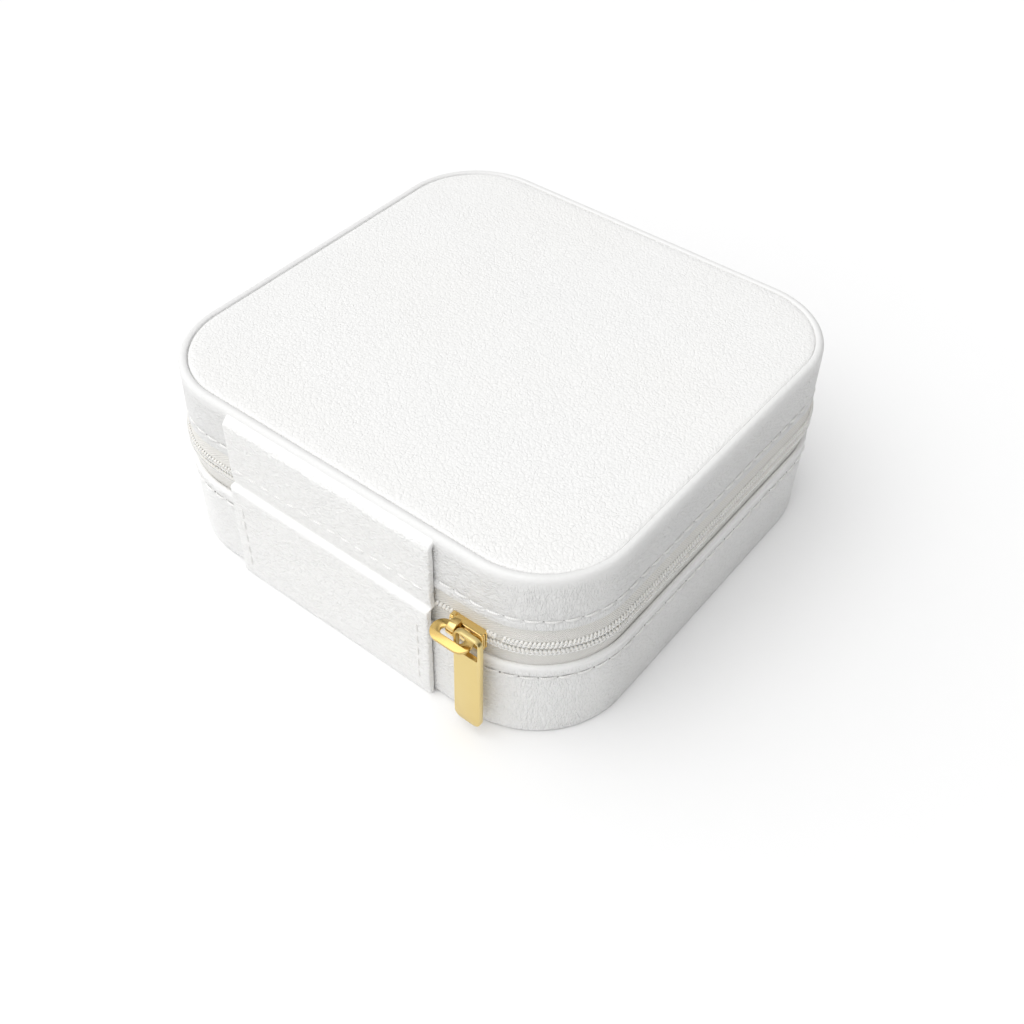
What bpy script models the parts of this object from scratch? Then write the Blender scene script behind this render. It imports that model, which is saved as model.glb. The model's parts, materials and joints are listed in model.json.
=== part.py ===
"""A small zip-around travel jewelry case.

It has a lined base with ring rolls and loose dividers, a padded lid with a mirror, a leather hinge panel
at the back, and a zip whose slider carries an oval ring and a pull tab.

Metres, +Z up. The origin is the centre of the base's underside. The front is -Y and the panel is at +Y.
"""

import math

import bmesh
import bpy
from mathutils import Matrix, Vector

MM = 0.001
WELD = 0.01 * MM  # closer points are made one
ALONG = 0.99  # least cosine for an edge or a normal that counts as upright

# Driving dimensions, in metres.
GAP = 0.3 * MM  # between pieces that touch
SKIN = 1.0 * MM  # leather
BOARD = 1.8 * MM  # chipboard
VELVET = 0.9 * MM  # lining
CORNER_STEPS = 8
SKIN_EDGE = 0.3 * MM  # rounding of leather edges
VELVET_EDGE = 0.4 * MM  # rounding of velvet-covered boards
ROLL_SIDES = 16

# The zip runs on this rounded rectangle, and the lid and the base stand proud of it.
ZIP_WIDTH = 100.0 * MM
ZIP_DEPTH = 96.5 * MM
ZIP_RADIUS = 18.0 * MM

BASE_PROUD = 1.2 * MM
BASE_RADIUS = 20.0 * MM
BASE_TOP = 19.2 * MM
BOTTOM_SHEET = 0.8 * MM

LID_PROUD = 0.4 * MM
LID_RADIUS = ZIP_RADIUS + LID_PROUD
LID_BOTTOM = 28.6 * MM
LID_BOARD_TOP = 39.0 * MM
RIM_TUBE = 0.95 * MM
RIM_HEIGHT = 41.3 * MM  # top of the rolled rim
PAD_CROWN = 0.4 * MM  # the padded top rises this far above its own edge
CROWN_INSET = 9.0 * MM

# Zip: the coil rows sit on the outside of the tapes, with a centre line between the rows.
ZIP_MIDDLE = 24.1 * MM
ROW_SPLIT = 1.0 * MM  # between the two rows
ROW_HEIGHT = 1.7 * MM
COIL_PROUD = 0.2 * MM
COIL_THICKNESS = 1.1 * MM
TAPE_INSET = 1.2 * MM
TAPE_THICKNESS = 0.5 * MM
STOP_LENGTH = 1.4 * MM
STOP_EDGE = 0.25 * MM

# Hinge panel, off centre to the left when the back is looked at from outside.
PANEL_RIGHT = -23.3 * MM
PANEL_LEFT = 26.1 * MM
PANEL_THICKNESS = 1.2 * MM
PANEL_TOP = 38.8 * MM
PANEL_FOOT = 0.1 * MM
FOLD_HALF = 1.1 * MM  # each half stops this far from the fold
HINGE_Y = 50.6 * MM
TAPE_TUCK = 2.0 * MM  # the tapes run on under the panel

# Slider, ring and tab.
SLIDER_X = -30.7 * MM
SLIDER_LENGTH = 7.2 * MM
SLIDER_BOTTOM = 20.5 * MM
SLIDER_TOP = 25.75 * MM
SLIDER_PLATE = 0.7 * MM
FRONT_PLATE_PROUD = 0.7 * MM  # the inner face of the front plate, outside the zip line
BACK_PLATE_INSET = 2.6 * MM  # the outer face of the back plate, inside the zip line
WEB_LENGTH = 1.6 * MM  # the web stands between the two coil rows
WEB_HEIGHT = 0.4 * MM
WEB_OVERLAP = 0.3 * MM  # it reaches this far into each plate
SLIDER_SWEEP = 2.6 * MM  # the lid's tape starts this far past the slider
CROWN_X = -29.1 * MM
CROWN_WIDTH = 1.7 * MM
CROWN_BORE = 1.0 * MM
CROWN_WALL = 0.5 * MM
CROWN_STEPS = 10

RING_PIVOT = Vector((-29.95 * MM, HINGE_Y, 24.2 * MM))
RING_LENGTH = 8.6 * MM
RING_REACH = 4.6 * MM
RING_BAND = 1.35 * MM
RING_END_BAND = 1.8 * MM
RING_THICKNESS = 1.0 * MM
RING_DROOP = math.radians(-8)
RING_END_STEPS = 8
ROUND_END_SLACK = 0.001 * MM  # keeps two round ends from meeting in a doubled point

TAB_PIVOT = Vector((-33.6 * MM, 52.2 * MM, 24.2 * MM))
TAB_LEFT = -30.65 * MM
TAB_WIDTH = 5.85 * MM
TAB_THICKNESS = 1.05 * MM
TAB_TOP = 27.2 * MM
TAB_FOOT = 2.85 * MM
TAB_BAR = 0.9 * MM
SLOT_HEIGHT = 4.4 * MM
SLOT_CORNER = 0.5 * MM
TAB_CORNER = 1.6 * MM

# Inside of the base.
ROLL_COUNT = 4
ROLL_PITCH = 10.4 * MM
ROLL_WIDTH = 10.0 * MM
ROLL_HEIGHT = 12.0 * MM
ROLL_FRONT = -39.6 * MM
ROLL_HALF_LENGTHS = [34.6 * MM, 45.6 * MM, 46.3 * MM, 46.3 * MM]
PARTITION_Y = -2.1 * MM
PARTITION_THICKNESS = 1.6 * MM
PARTITION_TOP = 17.0 * MM
PARTITION_HALF_LENGTH = 46.5 * MM
DIVIDER_X = 15.6 * MM
DIVIDER_THICKNESS = 1.6 * MM
DIVIDER_TOP = 16.6 * MM
DIVIDER_BACK = 44.6 * MM

# Inside of the lid.
MIRROR_WIDTH = 62.0 * MM
MIRROR_DEPTH = 54.0 * MM
MIRROR_RADIUS = 6.0 * MM
MIRROR_THICKNESS = 1.2 * MM
FRAME_BORDER = 4.0 * MM
FRAME_THICKNESS = 1.6 * MM

parts = None
cutters = None


def clear_scene():
    """Removes what the startup file holds."""
    for obj in list(bpy.data.objects):
        bpy.data.objects.remove(obj, do_unlink=True)


def make_collections():
    """One collection for the case and one for the hidden shapes that join or cut its pieces."""
    global parts, cutters
    parts = bpy.data.collections.new("jewelry_box")
    cutters = bpy.data.collections.new("cutters")
    for collection in (parts, cutters):
        bpy.context.scene.collection.children.link(collection)


def material(name, colour, roughness, metallic=0.0):
    """A Principled material, made once for each name."""
    found = bpy.data.materials.get(name)
    if found:
        return found
    made = bpy.data.materials.new(name)
    made.use_nodes = True
    shader = made.node_tree.nodes["Principled BSDF"]
    shader.inputs["Base Color"].default_value = (*colour, 1.0)
    shader.inputs["Roughness"].default_value = roughness
    shader.inputs["Metallic"].default_value = metallic
    return made


def white_leather(name):
    return material(name + "_white_leather", (0.86, 0.86, 0.85), 0.55)


def board(name):
    return material(name + "_board", (0.55, 0.50, 0.43), 0.9)


def velvet(name):
    return material(name + "_velvet", (0.78, 0.72, 0.64), 0.95)


def zip_cream(name):
    return material(name + "_cream_zip", (0.84, 0.82, 0.76), 0.7)


def gold(name):
    return material(name + "_gold", (0.83, 0.64, 0.25), 0.2, 1.0)


def add_mesh(name, bm, finish, origin=Vector((0, 0, 0))):
    """Turns a bmesh in world coordinates into an object whose origin is at the given point."""
    bmesh.ops.recalc_face_normals(bm, faces=bm.faces)
    bmesh.ops.translate(bm, verts=bm.verts, vec=-origin)
    mesh = bpy.data.meshes.new(name)
    bm.to_mesh(mesh)
    bm.free()
    obj = bpy.data.objects.new(name, mesh)
    obj.location = origin
    obj.data.materials.append(finish)
    parts.objects.link(obj)
    return obj


def smooth(obj, angle=40):
    """Smooth shading with the hard edges kept."""
    obj.data.shade_smooth()
    obj.data.set_sharp_from_angle(angle=math.radians(angle))


def box_bmesh(low, high):
    """A box between two corners."""
    bm = bmesh.new()
    bmesh.ops.create_cube(bm, size=1.0)
    size = high - low
    bmesh.ops.scale(bm, vec=size, verts=bm.verts)
    bmesh.ops.translate(bm, vec=(low + high) / 2, verts=bm.verts)
    return bm


def upright_edges(bm):
    return [e for e in bm.edges if abs((e.verts[0].co - e.verts[1].co).normalized().z) > ALONG]


def level_faces(bm, side):
    """The faces that look up (side 1) or down (side -1)."""
    return [f for f in bm.faces if f.normal.z * side > ALONG]


def rounded_block(width, depth, radius, bottom, top):
    """A block with upright rounded corners, centred on the Z axis."""
    bm = box_bmesh(Vector((-width / 2, -depth / 2, bottom)), Vector((width / 2, depth / 2, top)))
    bmesh.ops.bevel(
        bm,
        geom=upright_edges(bm),
        offset=radius,
        segments=CORNER_STEPS,
        profile=0.5,
        affect="EDGES",
    )
    bm.normal_update()
    return bm


def solidify(obj, thickness):
    """Thickens an open surface towards its inner side."""
    modifier = obj.modifiers.new("thickness", "SOLIDIFY")
    modifier.thickness = thickness
    modifier.offset = -1.0
    modifier.use_even_offset = True
    modifier.use_rim = True


def add_bevel(obj, width, segments=2, angle=40):
    """Rounds the edges that are sharper than the angle."""
    modifier = obj.modifiers.new("rounded_edges", "BEVEL")
    modifier.width = width
    modifier.segments = segments
    modifier.limit_method = "ANGLE"
    modifier.angle_limit = math.radians(angle)


def tray(name, width, depth, radius, bottom, top, thickness, finish):
    """A tray whose outer size is given, open at the bottom."""
    bm = rounded_block(width, depth, radius, bottom, top)
    bmesh.ops.delete(bm, geom=level_faces(bm, -1), context="FACES")
    obj = add_mesh(name, bm, finish)
    solidify(obj, thickness)
    smooth(obj)
    return obj


def band(name, width, depth, radius, bottom, top, thickness, finish):
    """A wall that runs round a rounded rectangle, open above and below."""
    bm = rounded_block(width, depth, radius, bottom, top)
    bmesh.ops.delete(bm, geom=level_faces(bm, 1) + level_faces(bm, -1), context="FACES")
    obj = add_mesh(name, bm, finish)
    solidify(obj, thickness)
    smooth(obj)
    return obj


def slab(name, width, depth, radius, bottom, top, finish):
    """A flat plate with rounded corners."""
    obj = add_mesh(name, rounded_block(width, depth, radius, bottom, top), finish)
    smooth(obj)
    return obj


def box(name, low, high, finish, origin=Vector((0, 0, 0)), bevel=0.0):
    obj = add_mesh(name, box_bmesh(low, high), finish, origin)
    if bevel:
        add_bevel(obj, bevel)
    return obj


def zip_size(inset):
    """Width, depth and radius of the zip's rounded rectangle, taken in by an inset."""
    return ZIP_WIDTH - 2 * inset, ZIP_DEPTH - 2 * inset, ZIP_RADIUS - inset


def zip_corner():
    """The centre of the corner that the slider's travel turns about."""
    return Vector((-ZIP_WIDTH / 2 + ZIP_RADIUS, ZIP_DEPTH / 2 - ZIP_RADIUS, 0))


def corner_arc(centre_x, centre_y, radius, first, last=None):
    """Points on a corner's arc, from one angle in degrees to another, or through a quarter turn."""
    last = first + 90 if last is None else last
    points = []
    for step in range(CORNER_STEPS + 1):
        angle = math.radians(first + (last - first) * step / CORNER_STEPS)
        offset = Vector((math.cos(angle), math.sin(angle), 0)) * radius
        points.append(Vector((centre_x, centre_y, 0)) + offset)
    return points


def angle_on_near_corner(inset, x):
    """Where a line of the zip reaches x on the corner at -X, +Y, in degrees from +X."""
    _, _, radius = zip_size(inset)
    return 90 + math.degrees(math.asin((zip_corner().x - x) / radius))


def zip_path(inset, start_x, end_x):
    """Points on the zip's line, from start_x round the corner at -X, +Y, the front and back to end_x.

    Seen from above it runs anticlockwise: back wall towards -X, then side, front, side and back wall.
    """
    width, depth, radius = zip_size(inset)
    arm_x = width / 2 - radius
    arm_y = depth / 2 - radius
    if start_x > -arm_x:
        points = [Vector((start_x, depth / 2, 0))]
        points += corner_arc(-arm_x, arm_y, radius, 90)
    else:
        points = corner_arc(-arm_x, arm_y, radius, angle_on_near_corner(inset, start_x), 180)
    points += corner_arc(-arm_x, -arm_y, radius, 180)
    points += corner_arc(arm_x, -arm_y, radius, 270)
    points += corner_arc(arm_x, arm_y, radius, 0)
    points.append(Vector((end_x, depth / 2, 0)))
    return points


def ribbon(name, points, bottom, top, thickness, finish):
    """An upright ribbon along points, thickened to its inner side, on the left of the way it runs."""
    bm = bmesh.new()
    lower = [bm.verts.new((p.x, p.y, bottom)) for p in points]
    edges = [bm.edges.new(pair) for pair in zip(lower, lower[1:])]
    lifted = bmesh.ops.extrude_edge_only(bm, edges=edges)["geom"]
    raised = [v for v in lifted if isinstance(v, bmesh.types.BMVert)]
    bmesh.ops.translate(bm, verts=raised, vec=(0, 0, top - bottom))
    bm.normal_update()
    outward = Vector((points[1].y - points[0].y, points[0].x - points[1].x, 0))
    first_middle = (points[0] + points[1]) / 2
    face = min(bm.faces, key=lambda f: (f.calc_center_median() - first_middle).length)
    if face.normal.dot(outward) < 0:
        bmesh.ops.reverse_faces(bm, faces=bm.faces)
    mesh = bpy.data.meshes.new(name)
    bm.to_mesh(mesh)
    bm.free()
    obj = bpy.data.objects.new(name, mesh)
    obj.data.materials.append(finish)
    parts.objects.link(obj)
    solidify(obj, thickness)
    smooth(obj)
    return obj


def tube_round(name, width, depth, radius, height, tube_radius, finish):
    """A closed tube round a rounded rectangle."""
    data = bpy.data.curves.new(name, "CURVE")
    data.dimensions = "3D"
    data.bevel_depth = tube_radius
    data.bevel_resolution = 2
    spline = data.splines.new("POLY")
    arm_x = width / 2 - radius
    arm_y = depth / 2 - radius
    corners = ((arm_x, arm_y, 0), (-arm_x, arm_y, 90), (-arm_x, -arm_y, 180), (arm_x, -arm_y, 270))
    points = []
    for centre_x, centre_y, first in corners:
        points += corner_arc(centre_x, centre_y, radius, first)
    spline.points.add(len(points) - 1)
    for target, point in zip(spline.points, points):
        target.co = (point.x, point.y, height, 1)
    spline.use_cyclic_u = True
    obj = bpy.data.objects.new(name, data)
    data.materials.append(finish)
    parts.objects.link(obj)
    return obj


def rounded_points(low, high, radius, steps=5):
    """A flat rounded rectangle between two corners, anticlockwise."""
    points = []
    corners = (
        (high[0] - radius, high[1] - radius, 0),
        (low[0] + radius, high[1] - radius, 90),
        (low[0] + radius, low[1] + radius, 180),
        (high[0] - radius, low[1] + radius, 270),
    )
    for centre_x, centre_y, first in corners:
        for step in range(steps + 1):
            angle = math.radians(first + 90 * step / steps)
            points.append((centre_x + radius * math.cos(angle), centre_y + radius * math.sin(angle)))
    return points


def outline_plate(name, outlines, thickness, finish, matrix):
    """A plate from flat outlines, the first the outside and the others holes, placed by a matrix."""
    data = bpy.data.curves.new(name, "CURVE")
    data.dimensions = "2D"
    data.fill_mode = "BOTH"
    data.extrude = thickness / 2
    for outline in outlines:
        spline = data.splines.new("POLY")
        spline.points.add(len(outline) - 1)
        for target, point in zip(spline.points, outline):
            target.co = (point[0], point[1], 0, 1)
        spline.use_cyclic_u = True
    data.materials.append(finish)
    obj = bpy.data.objects.new(name, data)
    obj.matrix_world = matrix
    parts.objects.link(obj)
    return obj


def facing_back(origin):
    """Turns a flat outline's X to -X and its Y to +Z, so that the plate faces +Y at a point."""
    turn = Matrix(((-1, 0, 0), (0, 0, 1), (0, 1, 0)))
    return Matrix.Translation(origin) @ turn.to_4x4()


def hide_as_helper(obj):
    """Moves an object out of the case and into the hidden helpers."""
    parts.objects.unlink(obj)
    cutters.objects.link(obj)
    obj.hide_render = True
    obj.display_type = "WIRE"
    return obj


def join(obj, helper):
    """Unites an object with a helper by an exact Boolean."""
    modifier = obj.modifiers.new("join_" + helper.name, "BOOLEAN")
    modifier.operation = "UNION"
    modifier.solver = "EXACT"
    modifier.object = hide_as_helper(helper)


def build_base():
    """Bottom sheet, leather band, boards and lining of the base."""
    width = ZIP_WIDTH + 2 * BASE_PROUD
    depth = ZIP_DEPTH + 2 * BASE_PROUD
    sheet_in = SKIN + 2 * GAP
    slab(
        "base_bottom_panel",
        width - 2 * sheet_in,
        depth - 2 * sheet_in,
        BASE_RADIUS - sheet_in,
        0.0,
        BOTTOM_SHEET,
        white_leather("base_bottom"),
    )
    leather = white_leather("base_cover")
    cover = band("base_cover", width, depth, BASE_RADIUS, GAP, BASE_TOP, SKIN, leather)
    add_bevel(cover, SKIN_EDGE)
    board_in = SKIN + GAP
    size = width - 2 * board_in, depth - 2 * board_in, BASE_RADIUS - board_in
    floor = BOTTOM_SHEET + GAP
    slab("base_floor_board", *size, floor, floor + BOARD, board("base"))
    band("base_wall_board", *size, floor + BOARD + GAP, BASE_TOP - GAP, BOARD, board("base"))
    lining_in = board_in + BOARD + GAP
    size = width - 2 * lining_in, depth - 2 * lining_in, BASE_RADIUS - lining_in
    slab("base_lining_floor", *size, lining_floor() - VELVET, lining_floor(), velvet("base_lining"))
    wall_foot = lining_floor() + GAP
    band("base_lining_wall", *size, wall_foot, BASE_TOP - GAP, VELVET, velvet("base_lining"))


def lining_floor():
    """Height of the upper face of the base lining's floor, which lies on the floor board."""
    return BOTTOM_SHEET + 2 * GAP + BOARD + VELVET


def build_ring_bed():
    """Four foam rolls that grip rings between them, and the partition behind them."""
    floor = lining_floor() + GAP
    across = Matrix.Rotation(math.radians(90), 4, "Y")
    for number, half_length in enumerate(ROLL_HALF_LENGTHS):
        bm = bmesh.new()
        bmesh.ops.create_cone(
            bm,
            cap_ends=True,
            segments=ROLL_SIDES,
            radius1=0.5,
            radius2=0.5,
            depth=2 * half_length,
            matrix=across,
        )
        bmesh.ops.scale(bm, vec=(1, ROLL_WIDTH, ROLL_HEIGHT), verts=bm.verts)
        middle = Vector((0, ROLL_FRONT + number * ROLL_PITCH, floor + ROLL_HEIGHT / 2))
        bmesh.ops.translate(bm, vec=middle, verts=bm.verts)
        roll = add_mesh(f"ring_roll_{number + 1}", bm, velvet("ring_roll"))
        smooth(roll)
    half = PARTITION_THICKNESS / 2
    box(
        "ring_bed_partition",
        Vector((-PARTITION_HALF_LENGTH, PARTITION_Y - half, floor)),
        Vector((PARTITION_HALF_LENGTH, PARTITION_Y + half, PARTITION_TOP)),
        velvet("partition"),
        bevel=VELVET_EDGE,
    )


def build_dividers():
    """Two loose dividers that stand in the compartments and lift straight out."""
    floor = lining_floor() + GAP
    front = PARTITION_Y + PARTITION_THICKNESS / 2 + GAP
    for side, x in (("right", -DIVIDER_X), ("left", DIVIDER_X)):
        half = DIVIDER_THICKNESS / 2
        box(
            f"divider_{side}",
            Vector((x - half, front, floor)),
            Vector((x + half, DIVIDER_BACK, DIVIDER_TOP)),
            velvet("divider"),
            origin=Vector((x, (front + DIVIDER_BACK) / 2, floor)),
            bevel=VELVET_EDGE,
        )


def build_lid():
    """Leather band, boards, rolled rim, padded top and lining of the lid."""
    width = ZIP_WIDTH + 2 * LID_PROUD
    depth = ZIP_DEPTH + 2 * LID_PROUD
    rim_bottom = RIM_HEIGHT - 2 * RIM_TUBE
    leather = white_leather("lid_cover")
    cover = band("lid_cover", width, depth, LID_RADIUS, LID_BOTTOM, rim_bottom - GAP, SKIN, leather)
    add_bevel(cover, SKIN_EDGE)
    board_in = SKIN + GAP
    size = width - 2 * board_in, depth - 2 * board_in, LID_RADIUS - board_in
    wall_top = LID_BOARD_TOP - BOARD - GAP
    slab("lid_top_board", *size, LID_BOARD_TOP - BOARD, LID_BOARD_TOP, board("lid"))
    band("lid_wall_board", *size, LID_BOTTOM + GAP, wall_top, BOARD, board("lid"))
    tube_round(
        "lid_rim",
        width - 2 * RIM_TUBE,
        depth - 2 * RIM_TUBE,
        LID_RADIUS - RIM_TUBE,
        RIM_HEIGHT - RIM_TUBE,
        RIM_TUBE,
        white_leather("lid_rim"),
    )
    pad_in = 2 * RIM_TUBE + GAP
    pad_edge_top = RIM_HEIGHT - PAD_CROWN
    bm = rounded_block(
        width - 2 * pad_in, depth - 2 * pad_in, LID_RADIUS - pad_in, LID_BOARD_TOP + GAP, pad_edge_top
    )
    bmesh.ops.inset_region(bm, faces=level_faces(bm, 1), thickness=CROWN_INSET, depth=PAD_CROWN)
    pad = add_mesh("lid_top_pad", bm, white_leather("lid_top"))
    smooth(pad, 60)
    lining_in = board_in + BOARD + GAP
    tray(
        "lid_lining",
        width - 2 * lining_in,
        depth - 2 * lining_in,
        LID_RADIUS - lining_in,
        LID_BOTTOM + GAP,
        lid_lining_top(),
        VELVET,
        velvet("lid_lining"),
    )


def lid_lining_top():
    """Height of the lining's upper face, under the lid's board."""
    return LID_BOARD_TOP - BOARD - GAP


def build_mirror():
    """A mirror in a padded frame, glued under the lid's lining."""
    top = lid_lining_top() - VELVET - GAP
    slab(
        "lid_mirror",
        MIRROR_WIDTH,
        MIRROR_DEPTH,
        MIRROR_RADIUS,
        top - MIRROR_THICKNESS,
        top,
        material("mirror_glass", (0.9, 0.9, 0.9), 0.02, 1.0),
    )
    hole = MIRROR_WIDTH / 2 + GAP, MIRROR_DEPTH / 2 + GAP
    outer = hole[0] + FRAME_BORDER, hole[1] + FRAME_BORDER
    outlines = (
        rounded_points((-outer[0], -outer[1]), outer, MIRROR_RADIUS + FRAME_BORDER),
        rounded_points((-hole[0], -hole[1]), hole, MIRROR_RADIUS + GAP),
    )
    outline_plate(
        "mirror_frame",
        outlines,
        FRAME_THICKNESS,
        velvet("mirror_frame"),
        Matrix.Translation((0, 0, top - FRAME_THICKNESS / 2)),
    )


def slider_end():
    """Where the slider's leading end lies on the back wall, towards -X."""
    return SLIDER_X - SLIDER_LENGTH / 2


def build_zip():
    """Tapes and coil rows: the lower ones on the base, the upper ones on the lid."""
    row_low = ZIP_MIDDLE - ROW_SPLIT / 2
    row_high = ZIP_MIDDLE + ROW_SPLIT / 2
    start = PANEL_RIGHT + TAPE_TUCK
    end = PANEL_LEFT - TAPE_TUCK
    lid_start = slider_end() - SLIDER_SWEEP
    ribbon(
        "zip_tape_lower",
        zip_path(TAPE_INSET, start, end),
        BASE_TOP + GAP,
        row_low,
        TAPE_THICKNESS,
        zip_cream("tape"),
    )
    ribbon(
        "zip_teeth_lower",
        zip_path(-COIL_PROUD, start, end),
        row_low - ROW_HEIGHT,
        row_low,
        COIL_THICKNESS,
        zip_cream("teeth"),
    )
    ribbon(
        "zip_tape_upper",
        zip_path(TAPE_INSET, lid_start, end),
        row_high,
        LID_BOTTOM - GAP,
        TAPE_THICKNESS,
        zip_cream("tape"),
    )
    ribbon(
        "zip_teeth_upper",
        zip_path(-COIL_PROUD, lid_start, end),
        row_high,
        row_high + ROW_HEIGHT,
        COIL_THICKNESS,
        zip_cream("teeth"),
    )
    build_zip_end(start, lid_start + SLIDER_SWEEP, row_high)
    stop_back = ZIP_DEPTH / 2 - TAPE_INSET - TAPE_THICKNESS
    for side, x in (("right", start + GAP), ("left", end - GAP - STOP_LENGTH)):
        box(
            f"zip_end_stop_{side}",
            Vector((x, stop_back, row_low - ROW_HEIGHT)),
            Vector((x + STOP_LENGTH, ZIP_DEPTH / 2 + COIL_PROUD, row_high + ROW_HEIGHT)),
            material("stop_nylon", (0.85, 0.83, 0.78), 0.4),
            bevel=STOP_EDGE,
        )


def build_zip_end(start, end, bottom):
    """The sewn end of the upper tape, which stays with the base beside the hinge panel."""
    width, depth, radius = zip_size(TAPE_INSET)
    corner = zip_corner()
    tape_top = LID_BOTTOM - 3 * GAP
    points = [Vector((start, depth / 2, 0))]
    points += corner_arc(corner.x, corner.y, radius, 90, angle_on_near_corner(TAPE_INSET, end))
    ribbon("zip_tape_end", points, bottom, tape_top, TAPE_THICKNESS, zip_cream("tape"))


def build_hinge_panel():
    """The leather panel over the back, in two halves that leave the fold free."""
    base_wall = ZIP_DEPTH / 2 + BASE_PROUD
    lid_wall = ZIP_DEPTH / 2 + LID_PROUD
    box(
        "hinge_panel_lower",
        Vector((PANEL_RIGHT, base_wall + GAP, PANEL_FOOT)),
        Vector((PANEL_LEFT, base_wall + GAP + PANEL_THICKNESS, ZIP_MIDDLE - FOLD_HALF)),
        white_leather("hinge_panel_lower"),
        bevel=SKIN_EDGE,
    )
    box(
        "hinge_panel_upper",
        Vector((PANEL_RIGHT, lid_wall + GAP, ZIP_MIDDLE + FOLD_HALF)),
        Vector((PANEL_LEFT, lid_wall + GAP + PANEL_THICKNESS, PANEL_TOP)),
        white_leather("hinge_panel_upper"),
        bevel=SKIN_EDGE,
    )


def crown_outline():
    """Half a ring in the plane across the zip, with feet that reach into the slider's front plate."""
    inner = CROWN_BORE
    outer = CROWN_BORE + CROWN_WALL
    foot = RING_PIVOT.y - (ZIP_DEPTH / 2 + FRONT_PLATE_PROUD + SLIDER_PLATE / 2)
    turns = [math.pi * step / CROWN_STEPS for step in range(CROWN_STEPS + 1)]
    points = [(-outer, -foot)]
    points += [(-outer * math.cos(turn), outer * math.sin(turn)) for turn in turns]
    points += [(outer, -foot), (inner, -foot)]
    points += [(inner * math.cos(turn), inner * math.sin(turn)) for turn in turns]
    points.append((-inner, -foot))
    return points


def as_mesh_object(obj):
    """Replaces a curve by a mesh with welded caps, so that it can be joined."""
    graph = bpy.context.evaluated_depsgraph_get()
    bpy.context.view_layer.update()
    mesh = bpy.data.meshes.new_from_object(obj.evaluated_get(graph))
    bm = bmesh.new()
    bm.from_mesh(mesh)
    bmesh.ops.remove_doubles(bm, verts=bm.verts, dist=WELD)
    bmesh.ops.recalc_face_normals(bm, faces=bm.faces)
    bm.to_mesh(mesh)
    bm.free()
    made = bpy.data.objects.new(obj.name + "_mesh", mesh)
    made.matrix_world = obj.matrix_world
    parts.objects.link(made)
    bpy.data.objects.remove(obj, do_unlink=True)
    return made


def slider_bar(name, length, y_range, z_range, origin=Vector((0, 0, 0))):
    """A block of the slider, centred on its place along the zip."""
    low = Vector((SLIDER_X - length / 2, y_range[0], z_range[0]))
    high = Vector((SLIDER_X + length / 2, y_range[1], z_range[1]))
    return box(name, low, high, gold("slider"), origin=origin)


def build_slider(travel):
    """Front plate, back plate and the web between them, with the crown that the ring hangs in."""
    front = ZIP_DEPTH / 2 + FRONT_PLATE_PROUD
    back = ZIP_DEPTH / 2 - BACK_PLATE_INSET
    plate_z = (SLIDER_BOTTOM, SLIDER_TOP)
    web_z = (ZIP_MIDDLE - WEB_HEIGHT / 2, ZIP_MIDDLE + WEB_HEIGHT / 2)
    web_y = (back - WEB_OVERLAP, front + WEB_OVERLAP)
    body = slider_bar("slider_body", SLIDER_LENGTH, (front, front + SLIDER_PLATE), plate_z, zip_corner())
    back_plate = slider_bar("slider_back_plate", SLIDER_LENGTH, (back - SLIDER_PLATE, back), plate_z)
    web = slider_bar("slider_web", WEB_LENGTH, web_y, web_z)
    across = Matrix(((0, 0, 1), (0, 1, 0), (-1, 0, 0))).to_4x4()
    crown_at = Matrix.Translation((CROWN_X, RING_PIVOT.y, RING_PIVOT.z)) @ across
    crown = outline_plate("slider_crown", (crown_outline(),), CROWN_WIDTH, gold("slider"), crown_at)
    for helper in (web, back_plate, as_mesh_object(crown)):
        join(body, helper)
    bpy.context.view_layer.update()
    body.parent = travel
    body.matrix_parent_inverse = travel.matrix_world.inverted()
    return body


def build_ring(swing):
    """The flat oval ring, whose long side runs through the crown."""
    # Drawn in the XY plane about the pivot, which is the middle of the side that lies in the crown.
    back_edge = -RING_BAND / 2
    low = (-RING_LENGTH / 2, back_edge)
    high = (RING_LENGTH / 2, back_edge + RING_REACH)
    end_radius = RING_REACH / 2 - ROUND_END_SLACK
    outer = rounded_points(low, high, end_radius, RING_END_STEPS)
    inner = rounded_points(
        (low[0] + RING_END_BAND, low[1] + RING_BAND),
        (high[0] - RING_END_BAND, high[1] - RING_BAND),
        end_radius - RING_BAND,
        RING_END_STEPS,
    )
    place = Matrix.Translation(RING_PIVOT) @ Matrix.Rotation(RING_DROOP, 4, "X")
    ring = outline_plate("puller_ring", (outer, inner), RING_THICKNESS, gold("ring"), place)
    bpy.context.view_layer.update()
    ring.parent = swing
    ring.matrix_parent_inverse = swing.matrix_world.inverted()
    return ring


def build_tab(swing):
    """The pull tab: a plate with a slot near its top, which the end of the ring passes through."""
    left = TAB_PIVOT.x - TAB_LEFT  # towards the viewer's left, as drawn from outside
    right = left + TAB_WIDTH
    foot = TAB_FOOT - TAB_PIVOT.z
    top = TAB_TOP - TAB_PIVOT.z
    outer = rounded_points((left, foot), (right, top), TAB_CORNER)
    slot = rounded_points(
        (left + TAB_BAR, top - TAB_BAR - SLOT_HEIGHT),
        (right - TAB_BAR, top - TAB_BAR),
        SLOT_CORNER,
    )
    tab = outline_plate("pull_tab", (outer, slot), TAB_THICKNESS, gold("tab"), facing_back(TAB_PIVOT))
    bpy.context.view_layer.update()
    tab.parent = swing
    tab.matrix_parent_inverse = swing.matrix_world.inverted()
    return tab


def add_axis(name, place, parent=None):
    """An empty on a joint's axis."""
    empty = bpy.data.objects.new(name, None)
    empty.location = place
    parts.objects.link(empty)
    bpy.context.view_layer.update()
    if parent:
        empty.parent = parent
        empty.matrix_parent_inverse = parent.matrix_world.inverted()
    bpy.context.view_layer.update()
    return empty


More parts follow.
